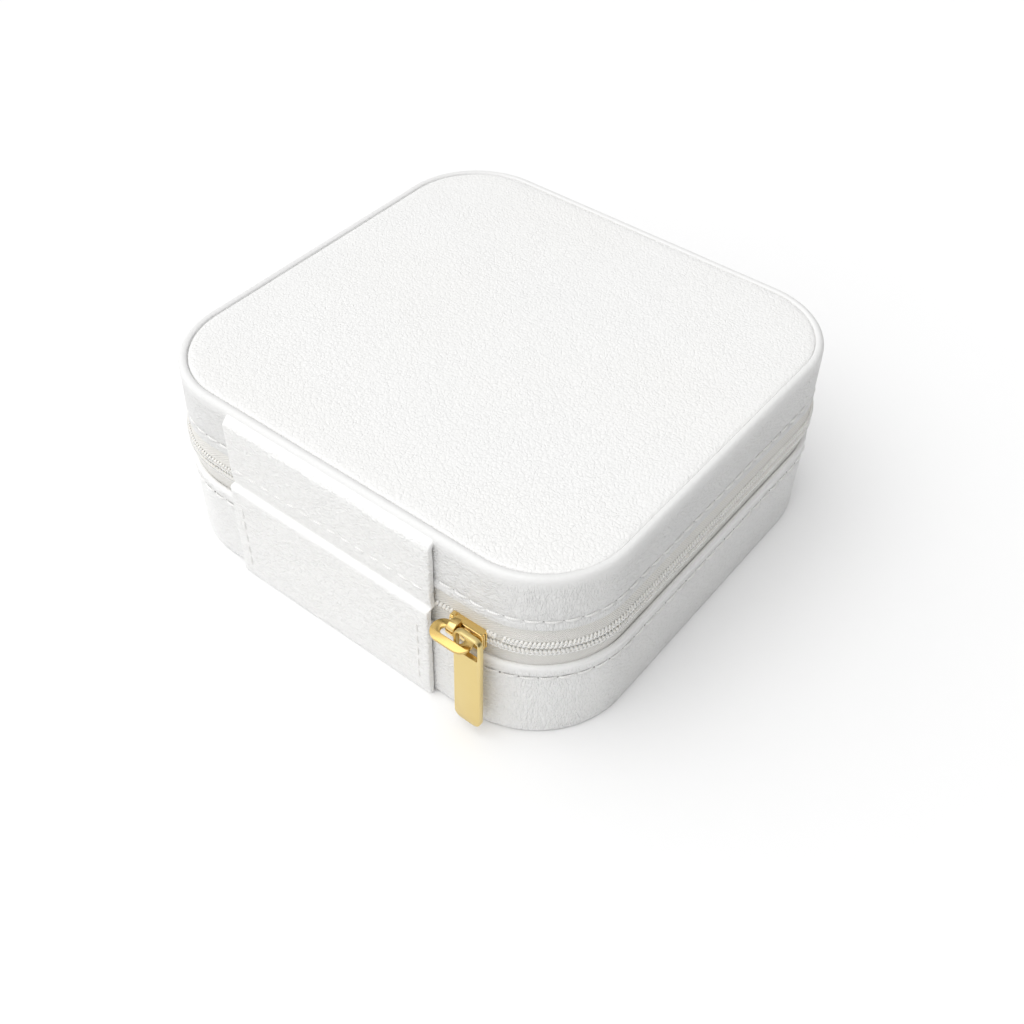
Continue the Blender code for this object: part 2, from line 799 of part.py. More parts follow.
def hang_lid_on_hinge():
    """Parents the lid's pieces to an empty on the fold."""
    fold = add_axis("lid_fold_axis", Vector((0, HINGE_Y, ZIP_MIDDLE)))
    names = (
        "lid_cover",
        "lid_top_board",
        "lid_wall_board",
        "lid_rim",
        "lid_top_pad",
        "lid_lining",
        "lid_mirror",
        "mirror_frame",
        "zip_tape_upper",
        "zip_teeth_upper",
        "hinge_panel_upper",
    )
    for name in names:
        obj = parts.objects[name]
        obj.parent = fold
        obj.matrix_parent_inverse = fold.matrix_world.inverted()


def main():
    clear_scene()
    make_collections()
    build_base()
    build_ring_bed()
    build_dividers()
    build_lid()
    build_mirror()
    build_zip()
    build_hinge_panel()
    travel = add_axis("slider_travel_axis", zip_corner())
    swing = add_axis("ring_swing_axis", RING_PIVOT, travel)
    hang = add_axis("tab_swing_axis", TAB_PIVOT, swing)
    build_slider(travel)
    build_ring(swing)
    build_tab(hang)
    hang_lid_on_hinge()


main()
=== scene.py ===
"""A small white zip-around jewelry case, with its leather, stitching, zip, puller and lining in detail.

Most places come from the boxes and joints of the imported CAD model, and the rest are named below.
Metres, with +Z up and the hinge panel and fold at +Y.
"""

import bisect
import json
import math

import bmesh
import bpy
from mathutils import Matrix, Vector, noise


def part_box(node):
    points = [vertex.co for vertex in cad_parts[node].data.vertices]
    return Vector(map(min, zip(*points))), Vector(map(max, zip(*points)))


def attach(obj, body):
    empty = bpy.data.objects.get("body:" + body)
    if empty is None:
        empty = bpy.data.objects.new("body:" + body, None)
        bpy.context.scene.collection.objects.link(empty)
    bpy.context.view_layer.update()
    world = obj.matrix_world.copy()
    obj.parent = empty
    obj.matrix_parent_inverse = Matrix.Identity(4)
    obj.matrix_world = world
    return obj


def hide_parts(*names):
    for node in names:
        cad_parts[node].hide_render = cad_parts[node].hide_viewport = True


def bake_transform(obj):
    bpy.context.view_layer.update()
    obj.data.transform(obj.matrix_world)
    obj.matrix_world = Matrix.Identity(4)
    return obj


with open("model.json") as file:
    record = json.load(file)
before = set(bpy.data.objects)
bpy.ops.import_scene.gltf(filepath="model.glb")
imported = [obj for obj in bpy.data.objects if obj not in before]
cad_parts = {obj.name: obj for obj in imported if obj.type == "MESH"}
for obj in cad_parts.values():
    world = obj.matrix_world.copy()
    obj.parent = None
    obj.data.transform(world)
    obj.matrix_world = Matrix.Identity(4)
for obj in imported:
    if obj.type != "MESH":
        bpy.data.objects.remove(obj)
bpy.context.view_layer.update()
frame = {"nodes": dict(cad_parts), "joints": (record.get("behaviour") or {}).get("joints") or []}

MM = 0.001

# Corner radii of the CAD outlines, which boxes don't give, and the coil's height above its tapes.
LID_RADIUS = 18.4 * MM
BASE_RADIUS = 20.0 * MM
ZIP_RADIUS = 18.0 * MM
COIL_PROUD = 0.2 * MM

# Leather
SKIN = 1.0 * MM
WAVE_SIZE = 11 * MM
WAVE_HEIGHT = 0.07 * MM
HEM_RADIUS = 0.55 * MM
HEM_SWELL = 0.22 * MM
SHOULDER = 1.05 * MM  # radius of the lid's upper edge
RIM_CREASE = 1.8 * MM  # from the lid's side in to the crease round the top
LINING = 0.9 * MM  # velvet over its backing
FOOT_RADIUS = 0.6 * MM

# Sewing
STITCH_PITCH = 3.4 * MM
STITCH_GAP = 0.5 * MM
STITCH_SLANT = 0.09 * MM
THREAD_RADIUS = 0.26 * MM
STITCH_GROOVE = 0.14 * MM
SUNK_STITCH = 0.26 * MM  # the panel's stitches are pulled in this far
LID_STITCH_UP = 2.35 * MM  # above the lid's lower edge
BASE_STITCH_SINK = 0.02 * MM  # the base thread lies nearly level with its leather
BASE_STITCH_DOWN = 2.9 * MM  # below the base's upper edge
SIDE_STITCH_IN = 2.6 * MM  # inside the panel's side edges

# Zip
TOOTH_PITCH = 0.74 * MM  # chosen, as the stitch pitch is
CHAIN_MIDDLE = 24.25 * MM
ROW_GAP = 0.2 * MM  # half the dark line between the rows
TAPE_INSET = 0.42 * MM
TAPE_THICKNESS = 0.4 * MM
ZIP_DIP = 0.8 * MM  # the chain sags this far at the slider
ZIP_BULGE = 1.05 * MM  # the chain stands out this far from its line, and less at the slider
SLIDER_BULGE = 0.25 * MM
TAPE_FOOT_OUT = -0.05 * MM  # where the lower tape leaves the base, outside the chain's line
TAPE_HEAD_OUT = -0.1 * MM  # where the upper tape leaves the lid
DIP_REACH = 9.0 * MM

# Slider, ring and tab. They follow the CAD, with a thinner ring and a lower slider top.
SLIDER_LENGTH = 7.2 * MM
SLIDER_DROP = 0.8 * MM  # the casting's upper edge lies this far below the CAD box's
PLATE = 0.7 * MM
FRONT_PLATE_PROUD = 0.7 * MM
BACK_PLATE_INSET = 2.6 * MM
CROWN_X = -29.1 * MM
CROWN_WIDTH = 1.7 * MM
CROWN_BORE = 1.0 * MM
CROWN_WALL = 0.5 * MM
RING_LENGTH = 8.6 * MM
RING_REACH = 4.6 * MM
RING_BAND = 1.35 * MM
RING_FRONT_BAND = 1.6 * MM
RING_END_BAND = 1.8 * MM
RING_THICKNESS = 0.75 * MM
RING_DROOP = math.radians(-8)
TAB_BAR = 0.6 * MM
TAB_CORNER = 1.6 * MM
SLOT_HEIGHT = 4.7 * MM
SLOT_CORNER = 0.5 * MM

# Light
KEY_FROM = (0.14, 0.36, 0.92)
KEY_STRENGTH = 0.7
KEY_ANGLE = 60
SKY_TOWARDS = (0.3, 0.4, 0.87)  # the sky is brightest this way
SKY_LOW = 0.02
SKY_HIGH = 1.48

LID_LOW, LID_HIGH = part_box("lid_cover")
_, RIM_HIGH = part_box("lid_rim")
PAD_LOW, PAD_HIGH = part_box("lid_top_pad")
BASE_LOW, BASE_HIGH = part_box("base_cover")
LINING_LOW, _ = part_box("base_lining_floor")
_, LINING_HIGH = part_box("base_lining_wall")
LID_LINING_LOW, LID_LINING_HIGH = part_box("lid_lining")
COIL_LOW, COIL_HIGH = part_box("zip_teeth_lower")
_, PANEL_UP_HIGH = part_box("hinge_panel_upper")
PANEL_DOWN_LOW, PANEL_DOWN_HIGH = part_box("hinge_panel_lower")
SLIDER_LOW, SLIDER_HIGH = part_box("slider_body")
TAB_LOW, TAB_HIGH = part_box("pull_tab")
JOINTS = {joint["name"]: joint for joint in frame["joints"]}
FOLD = Vector(JOINTS["lid_hinge"]["pos_m"])
RING_PIVOT = Vector(JOINTS["ring_swing"]["pos_m"])
TAB_PIVOT = Vector(JOINTS["tab_swing"]["pos_m"])
ZIP_FACE = COIL_HIGH.y - COIL_PROUD


# ---------------------------------------------------------------- materials

# Sockets of Blender's Mix node, which share their names.
MIX_SHARE = 0
MIX_NUMBERS = (2, 3)
MIX_COLOURS = (6, 7)
MIX_COLOUR_OUT = 2


class Graph:
    """Small helper that adds and links the nodes of one material."""

    def __init__(self, name):
        self.material = bpy.data.materials.new(name)
        self.material.use_nodes = True
        self.tree = self.material.node_tree
        self.shader = self.tree.nodes["Principled BSDF"]

    def add(self, kind, **values):
        """A node, with its inputs and settings by name. A value that is a socket is linked."""
        node = self.tree.nodes.new(kind)
        for key, value in values.items():
            name = key.replace("_", " ")
            if name in node.inputs:
                self.feed(node.inputs[name], value)
            else:
                setattr(node, key, value)
        return node

    def feed(self, socket, value):
        if isinstance(value, bpy.types.NodeSocket):
            self.tree.links.new(value, socket)
        else:
            socket.default_value = value

    def point(self, stretch=(1, 1, 1)):
        """The place on the piece, stretched."""
        coords = self.add("ShaderNodeTexCoord")
        mapping = self.add("ShaderNodeMapping", Vector=coords.outputs["Object"])
        mapping.inputs["Scale"].default_value = stretch
        return mapping.outputs["Vector"]

    def axes(self, vector):
        return self.add("ShaderNodeSeparateXYZ", Vector=vector).outputs

    def noise(self, place, scale, detail=3.0, roughness=0.5):
        node = self.add("ShaderNodeTexNoise", Vector=place, Scale=scale, Detail=detail, Roughness=roughness)
        return node.outputs["Fac"]

    def cells(self, place, scale, feature="F1", smooth=None):
        node = self.add("ShaderNodeTexVoronoi", Vector=place, Scale=scale)
        node.feature = feature
        if smooth is not None:
            node.inputs["Smoothness"].default_value = smooth
        return node.outputs["Distance"]

    def math(self, operation, first, second=0.0):
        node = self.tree.nodes.new("ShaderNodeMath")
        node.operation = operation
        self.feed(node.inputs[0], first)
        self.feed(node.inputs[1], second)
        return node.outputs[0]

    def times(self, first, second):
        return self.math("MULTIPLY", first, second)

    def plus(self, first, second):
        return self.math("ADD", first, second)

    def spread(self, value, low, high, to_low=0.0, to_high=1.0):
        """Maps a value from one range to another, held within it."""
        node = self.tree.nodes.new("ShaderNodeMapRange")
        node.clamp = True
        for socket, number in zip(node.inputs, (value, low, high, to_low, to_high)):
            self.feed(socket, number)
        return node.outputs[0]

    def between(self, share, first, second):
        """A number between two others."""
        node = self.tree.nodes.new("ShaderNodeMix")
        for socket, value in zip((MIX_SHARE, *MIX_NUMBERS), (share, first, second)):
            self.feed(node.inputs[socket], value)
        return node.outputs[0]

    def blend(self, share, first, second):
        """A colour between two others."""
        node = self.tree.nodes.new("ShaderNodeMix")
        node.data_type = "RGBA"
        self.feed(node.inputs[MIX_SHARE], share)
        for socket, colour in zip(MIX_COLOURS, (first, second)):
            if isinstance(colour, tuple):
                colour = (*colour, 1.0)
            self.feed(node.inputs[socket], colour)
        return node.outputs[MIX_COLOUR_OUT]

    def bump(self, height, distance, strength=1.0, under=None):
        node = self.add("ShaderNodeBump", Height=height, Distance=distance, Strength=strength)
        if under is not None:
            self.feed(node.inputs["Normal"], under)
        return node.outputs["Normal"]

    def pointiness(self):
        return self.add("ShaderNodeNewGeometry").outputs["Pointiness"]

    def set(self, **values):
        """Feeds the Principled shader."""
        for key, value in values.items():
            if isinstance(value, tuple):
                value = (*value, 1.0)
            self.feed(self.shader.inputs[key.replace("_", " ")], value)


def shade(tint, share):
    """A tint made darker or paler."""
    return tuple(min(1.0, c * share) for c in tint)


def wrinkles(g, stretch, grain):
    """Height of pressed leather grain: domed pebbles, the lines between them, creases and a fine tooth."""
    plain = g.point(stretch)
    warp = g.add("ShaderNodeTexNoise", Vector=plain, Scale=grain * 0.4, Detail=2.0)
    bent = g.tree.nodes.new("ShaderNodeVectorMath")
    bent.operation = "MULTIPLY_ADD"
    g.feed(bent.inputs[0], warp.outputs["Color"])
    bent.inputs[1].default_value = (1.3 / grain,) * 3
    g.feed(bent.inputs[2], plain)
    place = bent.outputs[0]
    domes = g.spread(g.cells(place, grain, "SMOOTH_F1", 0.3), 0.0, 0.8, 1.0, 0.0)
    lines = g.spread(g.cells(place, grain, "DISTANCE_TO_EDGE"), 0.0, 0.14)
    ridge = g.math("ABSOLUTE", g.math("SUBTRACT", g.noise(place, grain * 0.5, 1.0, 0.5), 0.5))
    creases = g.spread(ridge, 0.0, 0.06)
    height = g.plus(g.times(domes, 0.42), g.times(lines, 0.2))
    height = g.plus(height, g.times(creases, 0.3))
    return g.plus(height, g.times(g.noise(g.point(), 2700.0, 1.0), 0.12))


def leather(name, stretch, grain, depth, tint=(0.815, 0.815, 0.81), painted_crease_shade=0.5, folds=(), corners=False):
    """White faux leather: pressed grain, a soft satin face and paler worn edges.

    painted_crease_shade darkens the grain's lines with painted shade in their grooves, folds lists each level
    where the leather is pulled smooth with its reach, and corners turns the wrinkles upright where the
    leather is stretched round a corner.
    """
    g = Graph(name)
    height = wrinkles(g, stretch, grain)
    if corners:
        normal = g.axes(g.add("ShaderNodeTexCoord").outputs["Normal"])
        turned = g.math("ABSOLUTE", g.times(normal["X"], normal["Y"]))
        upright = wrinkles(g, (1.0, 1.0, 0.42), grain)
        height = g.between(g.spread(turned, 0.18, 0.44, 0.0, 0.85), height, upright)
    strength = 1.0
    for level, reach in folds:
        away = g.math("ABSOLUTE", g.math("SUBTRACT", g.axes(g.point())["Z"], level))
        strength = g.times(strength, g.spread(away, 0.25 * reach, reach, 0.2, 1.0))
    slow = g.noise(g.point(), 95.0, 3.0)
    patch = g.noise(g.point(), 28.0, 2.0)
    wear = g.spread(g.pointiness(), 0.5, 0.58)
    # Painted shade: the tint darkens in the grain's lines, where shade falls, and less near the folds.
    lines = g.times(g.spread(height, 0.25, 0.75, painted_crease_shade, 0.0), strength)
    colour = g.blend(lines, tint, shade(tint, 0.86))
    colour = g.blend(g.spread(patch, 0.35, 0.7, 0.0, 0.3), colour, (tint[0], tint[1] * 0.99, tint[2] * 0.97))
    colour = g.blend(g.times(wear, 0.6), colour, shade(tint, 1.035))
    rough = g.plus(g.spread(slow, 0.3, 0.7, 0.42, 0.56), g.times(wear, -0.08))
    lumps = g.bump(g.noise(g.point(), 180.0, 2.0), 0.2 * MM, 0.1)
    g.set(Base_Color=colour, Roughness=rough, Normal=g.bump(height, depth, strength, lumps))
    g.set(Specular_IOR_Level=0.4, Coat_Weight=0.05, Coat_Roughness=0.35)
    return g.material


def velvet(name, tint):
    """Short-pile velvet: brushed patches, a fine nap and a soft sheen."""
    g = Graph(name)
    nap = g.noise(g.point((1, 1, 0.5)), 3200.0, 2.0, 0.7)
    brushed = g.noise(g.point((1, 2.2, 1)), 70.0, 4.0, 0.6)
    speck = g.noise(g.point(), 1500.0, 2.0)
    colour = g.blend(g.spread(brushed, 0.35, 0.68), shade(tint, 0.74), tint)
    colour = g.blend(g.spread(speck, 0.45, 0.75, 0.0, 0.4), colour, shade(tint, 1.1))
    normal = g.bump(nap, 0.12 * MM, 0.8, g.bump(brushed, 0.4 * MM, 0.25))
    g.set(Base_Color=colour, Roughness=g.spread(nap, 0.3, 0.7, 0.85, 1.0), Normal=normal)
    g.set(Sheen_Weight=0.55, Sheen_Roughness=0.35, Sheen_Tint=(1.0, 0.96, 0.9), Specular_IOR_Level=0.2)
    return g.material


def woven_tape(name, tint):
    """Zip tape: fine upright ribs crossed by slanting yarns."""
    g = Graph(name)
    place = g.point()
    axes = g.axes(place)
    along = g.plus(axes["X"], axes["Y"])
    yarn = 2 * math.pi / (0.5 * MM)
    slant = g.plus(axes["Z"], g.times(along, 0.55))
    rising = g.math("SINE", g.times(slant, yarn))
    ribs = g.math("SINE", g.times(g.math("SUBTRACT", along, axes["Z"]), yarn))
    weave = g.times(g.plus(rising, ribs), 0.5)
    fuzz = g.noise(place, 2600.0, 2.0)
    height = g.plus(weave, g.times(fuzz, 0.9))
    colour = g.blend(g.spread(weave, -0.9, 0.3), shade(tint, 0.88), tint)
    colour = g.blend(g.spread(g.noise(place, 60.0), 0.4, 0.7, 0.0, 0.2), colour, shade(tint, 0.95))
    g.set(Base_Color=colour, Roughness=g.spread(fuzz, 0.3, 0.7, 0.75, 0.92), Normal=g.bump(height, 0.07 * MM))
    g.set(Sheen_Weight=0.2, Specular_IOR_Level=0.3)
    return g.material


def nylon(name, tint):
    """Coil nylon: smooth and a little translucent, with small ripples and painted shade in its hollows."""
    g = Graph(name)
    ripple = g.noise(g.point(), 900.0, 3.0)
    colour = g.blend(g.spread(ripple, 0.35, 0.7), shade(tint, 0.95), tint)
    # Painted shade: the tint darkens where the surface is hollow, between the turns.
    colour = g.blend(g.spread(g.pointiness(), 0.4, 0.5, 0.2, 0.0), colour, shade(tint, 0.8))
    g.set(
        Base_Color=colour,
        Roughness=g.spread(ripple, 0.3, 0.7, 0.34, 0.46),
        Normal=g.bump(ripple, 0.05 * MM, 0.4),
    )
    g.set(Coat_Weight=0.12, Subsurface_Weight=0.15, Subsurface_Scale=1.0)
    g.shader.inputs["Subsurface Radius"].default_value = (0.6 * MM, 0.5 * MM, 0.4 * MM)
    return g.material


def thread(name, tint):
    """Sewing thread, with the twist of its plies."""
    g = Graph(name)
    place = g.point()
    axes = g.axes(place)
    along = g.plus(g.plus(axes["X"], axes["Y"]), axes["Z"])
    ply = g.math("SINE", g.times(along, 2 * math.pi / (0.42 * MM)))
    g.set(
        Base_Color=g.blend(g.spread(ply, -1.0, 0.6), shade(tint, 0.92), tint),
        Roughness=g.spread(g.noise(place, 2000.0), 0.3, 0.7, 0.5, 0.68),
        Normal=g.bump(ply, 0.03 * MM, 0.7),
    )
    g.set(Sheen_Weight=0.15)
    return g.material


def hole_shade_material(name):
    """Painted shade of the pit that a needle leaves: a dark grey tint in place of the shade inside the hole.
    """
    g = Graph(name)
    tone = g.noise(g.point(), 260.0)
    g.set(
        Base_Color=g.blend(g.spread(tone, 0.42, 0.58), (0.26, 0.25, 0.24), (0.72, 0.71, 0.69)),
        Roughness=g.spread(tone, 0.3, 0.7, 0.8, 0.95),
    )
    return g.material


def plated(name, tint, rough, brushed):
    """Gold plating: fine scratches or a brushed satin face, and edges polished by wear."""
    g = Graph(name)
    streaks = g.noise(g.point((1, 1, 0.06) if brushed else (1, 1, 1)), 5200.0, 2.0, 0.6)
    smudge = g.noise(g.point(), 160.0, 2.0)
    edge = g.spread(g.pointiness(), 0.52, 0.62)
    deep = (tint[0] * 0.985, tint[1] * 0.965, tint[2] * 0.93)
    colour = g.blend(g.spread(smudge, 0.35, 0.7, 0.0, 0.5), tint, deep)
    colour = g.blend(g.times(edge, 0.5), colour, shade(tint, 1.1))
    haze = g.spread(smudge, 0.3, 0.7, rough * 0.9, rough * 1.12)
    g.set(
        Base_Color=colour,
        Metallic=1.0,
        Roughness=g.plus(haze, g.times(edge, -0.3 * rough)),
        Normal=g.bump(streaks, 0.012 * MM, 0.3 if brushed else 0.06),
    )
    return g.material


def silvered(name):
    """Mirror glass, with the faintest haze and a few wiping marks."""
    g = Graph(name)
    haze = g.noise(g.point((1, 5, 1)), 60.0, 4.0, 0.6)
    g.set(
        Base_Color=g.blend(haze, (0.86, 0.88, 0.89), (0.93, 0.94, 0.95)),
        Metallic=1.0,
        Roughness=g.spread(haze, 0.3, 0.75, 0.012, 0.06),
    )
    return g.material


def chipboard(name):
    """Grey-brown board with pressed fibres."""
    g = Graph(name)
    fibres = g.noise(g.point((1, 1, 4)), 700.0, 5.0, 0.7)
    g.set(
        Base_Color=g.blend(fibres, (0.36, 0.31, 0.25), (0.62, 0.55, 0.46)),
        Roughness=g.spread(fibres, 0.3, 0.7, 0.8, 0.95),
        Normal=g.bump(fibres, 0.15 * MM, 0.5),
    )
    return g.material


def studio_floor(name):
    """A plain matt white sweep."""
    g = Graph(name)
    tone = g.noise(g.point(), 3.0, 2.0)
    g.set(Base_Color=g.blend(tone, (0.938, 0.938, 0.938), (0.944, 0.944, 0.944)), Roughness=0.9)
    g.set(Specular_IOR_Level=0.1)
    return g.material


# Painted light and shade: one white leather gets a different tint on each piece. It is darkest on the lid's
# side, which uses the default tint, paler on the base and palest on the top and the panel. The top also gets
# less painted crease shade.
TOP_LEATHER = leather("leather_top", (1, 1, 1), 1500.0, 0.12 * MM, tint=(0.905, 0.903, 0.895), painted_crease_shade=0.2)
SIDE_STRETCH = (0.5, 0.5, 1.0)
SIDE_GRAIN = 2150.0
TOP_FOLD = (RIM_HIGH.z, 2.7 * MM)
PANEL_FOLD = (FOLD.z - 0.3 * MM, 0.9 * MM)
BASE_FOLD = (BASE_HIGH.z, 1.2 * MM)
LID_LEATHER = leather("leather_lid", SIDE_STRETCH, SIDE_GRAIN, 0.27 * MM, folds=[TOP_FOLD], corners=True)
BASE_LEATHER = leather(
    "leather_base", SIDE_STRETCH, SIDE_GRAIN, 0.26 * MM, (0.89, 0.89, 0.883), folds=[BASE_FOLD], corners=True
)
PANEL_LEATHER = leather(
    "leather_panel", SIDE_STRETCH, SIDE_GRAIN, 0.27 * MM, (0.915, 0.914, 0.906), folds=[TOP_FOLD, PANEL_FOLD]
)
VELVET = velvet("velvet_beige", (0.72, 0.63, 0.52))
TAPE = woven_tape("zip_tape_weave", (0.875, 0.86, 0.82))
COIL = nylon("zip_coil_nylon", (0.87, 0.856, 0.818))
THREAD = thread("sewing_thread", (0.9, 0.895, 0.88))
HOLE_SHADE = hole_shade_material("needle_painted_hole_shade")
BRIGHT_GOLD = plated("polished_gold", (0.85, 0.63, 0.26), 0.15, False)
# Painted shade: the ring's polished gold is a darker copy of the slider's, so that the ring looks darker.
RING_GOLD = plated("ring_gold", (0.63, 0.445, 0.16), 0.2, False)
SATIN_GOLD = plated("satin_gold", (0.76, 0.605, 0.272), 0.34, True)


# ---------------------------------------------------------------- geometry helpers


class Outline:
    """A rounded rectangle seen from above, anticlockwise from its +X end, with outward normals."""

    def __init__(self, low, high, radius, step=1.6 * MM, corner_steps=22):
        self.centre = Vector(((low.x + high.x) / 2, (low.y + high.y) / 2))
        self.half_x = (high.x - low.x) / 2
        self.half_y = (high.y - low.y) / 2
        self.radius = radius
        self.points = []
        self.normals = []
        arm = Vector((self.half_x - radius, self.half_y - radius))
        corners = [Vector((arm.x * sx, arm.y * sy)) for sx, sy in ((1, 1), (-1, 1), (-1, -1), (1, -1))]
        for index, corner in enumerate(corners):
            for k in range(corner_steps + 1):
                angle = math.radians(90) * (index + k / corner_steps)
                normal = Vector((math.cos(angle), math.sin(angle)))
                self.points.append(self.centre + corner + radius * normal)
                self.normals.append(normal)
            last = self.points[-1]
            target = self.centre + corners[(index + 1) % 4] + radius * normal
            count = max(2, round((target - last).length / step))
            for k in range(1, count):
                self.points.append(last.lerp(target, k / count))
                self.normals.append(normal.copy())
        self.lengths = [0.0]
        for a, b in zip(self.points, self.points[1:] + self.points[:1]):
            self.lengths.append(self.lengths[-1] + (b - a).length)
        self.total = self.lengths[-1]

    def at(self, distance):
        """The point and normal a distance along it."""
        distance %= self.total
        k = min(bisect.bisect_right(self.lengths, distance), len(self.points)) - 1
        share = (distance - self.lengths[k]) / (self.lengths[k + 1] - self.lengths[k])
        after = (k + 1) % len(self.points)
        point = self.points[k].lerp(self.points[after], share)
        return point, self.normals[k].lerp(self.normals[after], share).normalized()

    def back_wall(self, x):
        """Distance along it of the point of the back wall at x."""
        return self.radius * math.radians(90) + self.half_x - self.radius + self.centre.x - x


LID = Outline(LID_LOW, LID_HIGH, LID_RADIUS)
BASE = Outline(BASE_LOW, BASE_HIGH, BASE_RADIUS)
ZIP = Outline(COIL_LOW, COIL_HIGH, ZIP_RADIUS + COIL_PROUD)


def put(name, data):
    """A new object of the scene."""
    made = bpy.data.objects.new(name, data)
    bpy.context.scene.collection.objects.link(made)
    return made


def finish_mesh(name, bm, material, body, replaced=(), smooth_angle=50):
    """Makes a mesh piece that rides on a body, or on none yet."""
    bmesh.ops.recalc_face_normals(bm, faces=bm.faces)
    mesh = bpy.data.meshes.new(name)
    bm.to_mesh(mesh)
    bm.free()
    piece = put(name, mesh)
    mesh.materials.append(material)
    mesh.shade_smooth()
    mesh.set_sharp_from_angle(angle=math.radians(smooth_angle))
    if body:
        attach(piece, body)
    if replaced:
        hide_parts(*replaced)
    return piece


def wave(place, height=WAVE_HEIGHT):
    """The slight unevenness of leather glued over board."""
    return height * noise.noise(place / WAVE_SIZE)


def ease(share):
    """0 to 1 with a soft start and end."""
    share = max(0.0, min(1.0, share))
    return share * share * (3 - 2 * share)


def bridge(bm, first, second, around=True):
    """Quads between two rows of vertices, going round or not."""
    for corners in zip(first, first[1:], second[1:], second):
        bm.faces.new(corners)
    if around:
        bm.faces.new((first[-1], first[0], second[0], second[-1]))


def loft(bm, sections):
    """Joins equal rings of points into a closed form with flat ends."""
    rings = [[bm.verts.new(p) for p in section] for section in sections]
    for first, second in zip(rings, rings[1:]):
        bridge(bm, first, second)
    bm.faces.new(rings[0][::-1])
    bm.faces.new(rings[-1])


def sheet(bm, outer, inner):
    """A closed sheet between two grids of points, one for each side."""
    sides = [[[bm.verts.new(p) for p in row] for row in grid] for grid in (outer, inner)]
    for grid in sides:
        for first, second in zip(grid, grid[1:]):
            bridge(bm, first, second, around=False)
    front, back = sides
    for column in (0, -1):
        bridge(bm, [row[column] for row in front], [row[column] for row in back], around=False)
    for row in (0, -1):
        bridge(bm, front[row], back[row], around=False)


def groove(level, below, above):
    """Profile points of the pressed line that a row of stitches lies in, from below it upwards."""
    points = [(below, level - 0.55 * MM, 0.4), (-STITCH_GROOVE * 0.6, level - 0.28 * MM, 0.4)]
    points += [(-STITCH_GROOVE, level, 0.4), (-STITCH_GROOVE * 0.6, level + 0.28 * MM, 0.4)]
    points.append((above, level + 0.55 * MM, 0.5))
    return points


def sweep(bm, outline, profile, closed=True):
    """Runs a profile of (out, up, share of waviness) round an outline. Gives the rings of vertices."""
    rings = []
    for out, up, loose in profile:
        ring = []
        for point, normal in zip(outline.points, outline.normals):
            place = Vector((point.x + normal.x * out, point.y + normal.y * out, up))
            shift = wave(place) * loose
            ring.append(bm.verts.new(place + normal.to_3d() * shift))
        rings.append(ring)
    for first, second in zip(rings, rings[1:]):
        bridge(bm, first, second)
    if closed:
        bridge(bm, rings[-1], rings[0])
    return rings


def beside(level, *spots, start=0.0):
    """Profile points beside a level, from (out, up) in mm and their share of waviness."""
    return [(start + out * MM, level + up * MM, loose) for out, up, loose in spots]


def arc(out, up, radius, start, end, steps, loose=1.0):
    """Profile points on an arc about (out, up), with angles in degrees from outward towards up."""
    made = []
    for k in range(steps + 1):
        angle = math.radians(start + (end - start) * k / steps)
        made.append((out + radius * math.cos(angle), up + radius * math.sin(angle), loose))
    return made


def line(first, last, steps, loose=1.0):
    """Profile points between two places, without its ends."""
    made = []
    for k in range(1, steps):
        share = k / steps
        out = first[0] + (last[0] - first[0]) * share
        made.append((out, first[1] + (last[1] - first[1]) * share, loose))
    return made


def tube_sections(places, radii, side, around=8, square=1.0):
    """Rings for loft: each lies across its own stretch of the route. side is one way across it."""
    sections = []
    for k, (place, (wide, deep)) in enumerate(zip(places, radii)):
        ahead = (places[min(len(places) - 1, k + 1)] - places[max(0, k - 1)]).normalized()
        across = (side - ahead * side.dot(ahead)).normalized()
        over = ahead.cross(across)
        sections.append([place + across * a + over * b for a, b in oval(wide, deep, around, square)])
    return sections


def oval(wide, deep, around, square=1.0):
    """Flat points on an oval, which a square below 1 makes squarer."""
    made = []
    for n in range(around):
        angle = 2 * math.pi * n / around
        c, s = math.cos(angle), math.sin(angle)
        made.append((math.copysign(abs(c) ** square, c) * wide, math.copysign(abs(s) ** square, s) * deep))
    return made


def stitch(bm, start, end, out):
    """One stitch: a thread that comes up through the skin, lies on it and goes down again."""
    along = end - start
    side = along.normalized().cross(out)
    places = []
    radii = []
    steps = 8
    for k in range(steps + 1):
        share = k / steps
        lift = math.sin(math.pi * share) ** 0.4 if 0 < share < 1 else 0.0
        slant = side * STITCH_SLANT * (1 - 2 * share)
        places.append(start + along * share + slant + out * THREAD_RADIUS * (1.9 * lift - 0.9))
        radius = THREAD_RADIUS * (0.8 + 0.2 * math.sin(math.pi * share))
        radii.append((radius, radius))
    loft(bm, tube_sections(places, radii, side))


def pit(bm, place, out, along):
    """A needle hole, drawn as a dark dot of painted shade whose face lies a hair above the skin."""
    across = along.cross(out).normalized()
    rings = []
    for radius, depth in ((0.17, -0.22), (0.17, 0.02), (0.11, 0.03), (0.04, 0.035)):
        spots = oval(radius * MM, radius * MM, 8)
        ring = [place + along * a + across * b + out * depth * MM for a, b in spots]
        rings.append(ring)
    loft(bm, rings)


def sew(name, body, route):
    """Stitches along a route of (place, outward direction), with a dark dot of painted shade for the needle
    hole between them.
    """
    bm = bmesh.new()
    for (here, out), (there, _) in zip(route, route[1:]):
        ahead = (there - here).normalized()
        stitch(bm, here + ahead * STITCH_GAP / 2, there - ahead * STITCH_GAP / 2, out)
    finish_mesh(name + "_thread", bm, THREAD, body)
    # Painted shade: a dark dot at each needle hole, in place of the shade inside it.
    bm = bmesh.new()
    for place, out in route:
        level = Vector((0, 0, 1)).cross(out)
        pit(bm, place, out, level.normalized())
    finish_mesh(name + "_painted_hole_shade", bm, HOLE_SHADE, body)


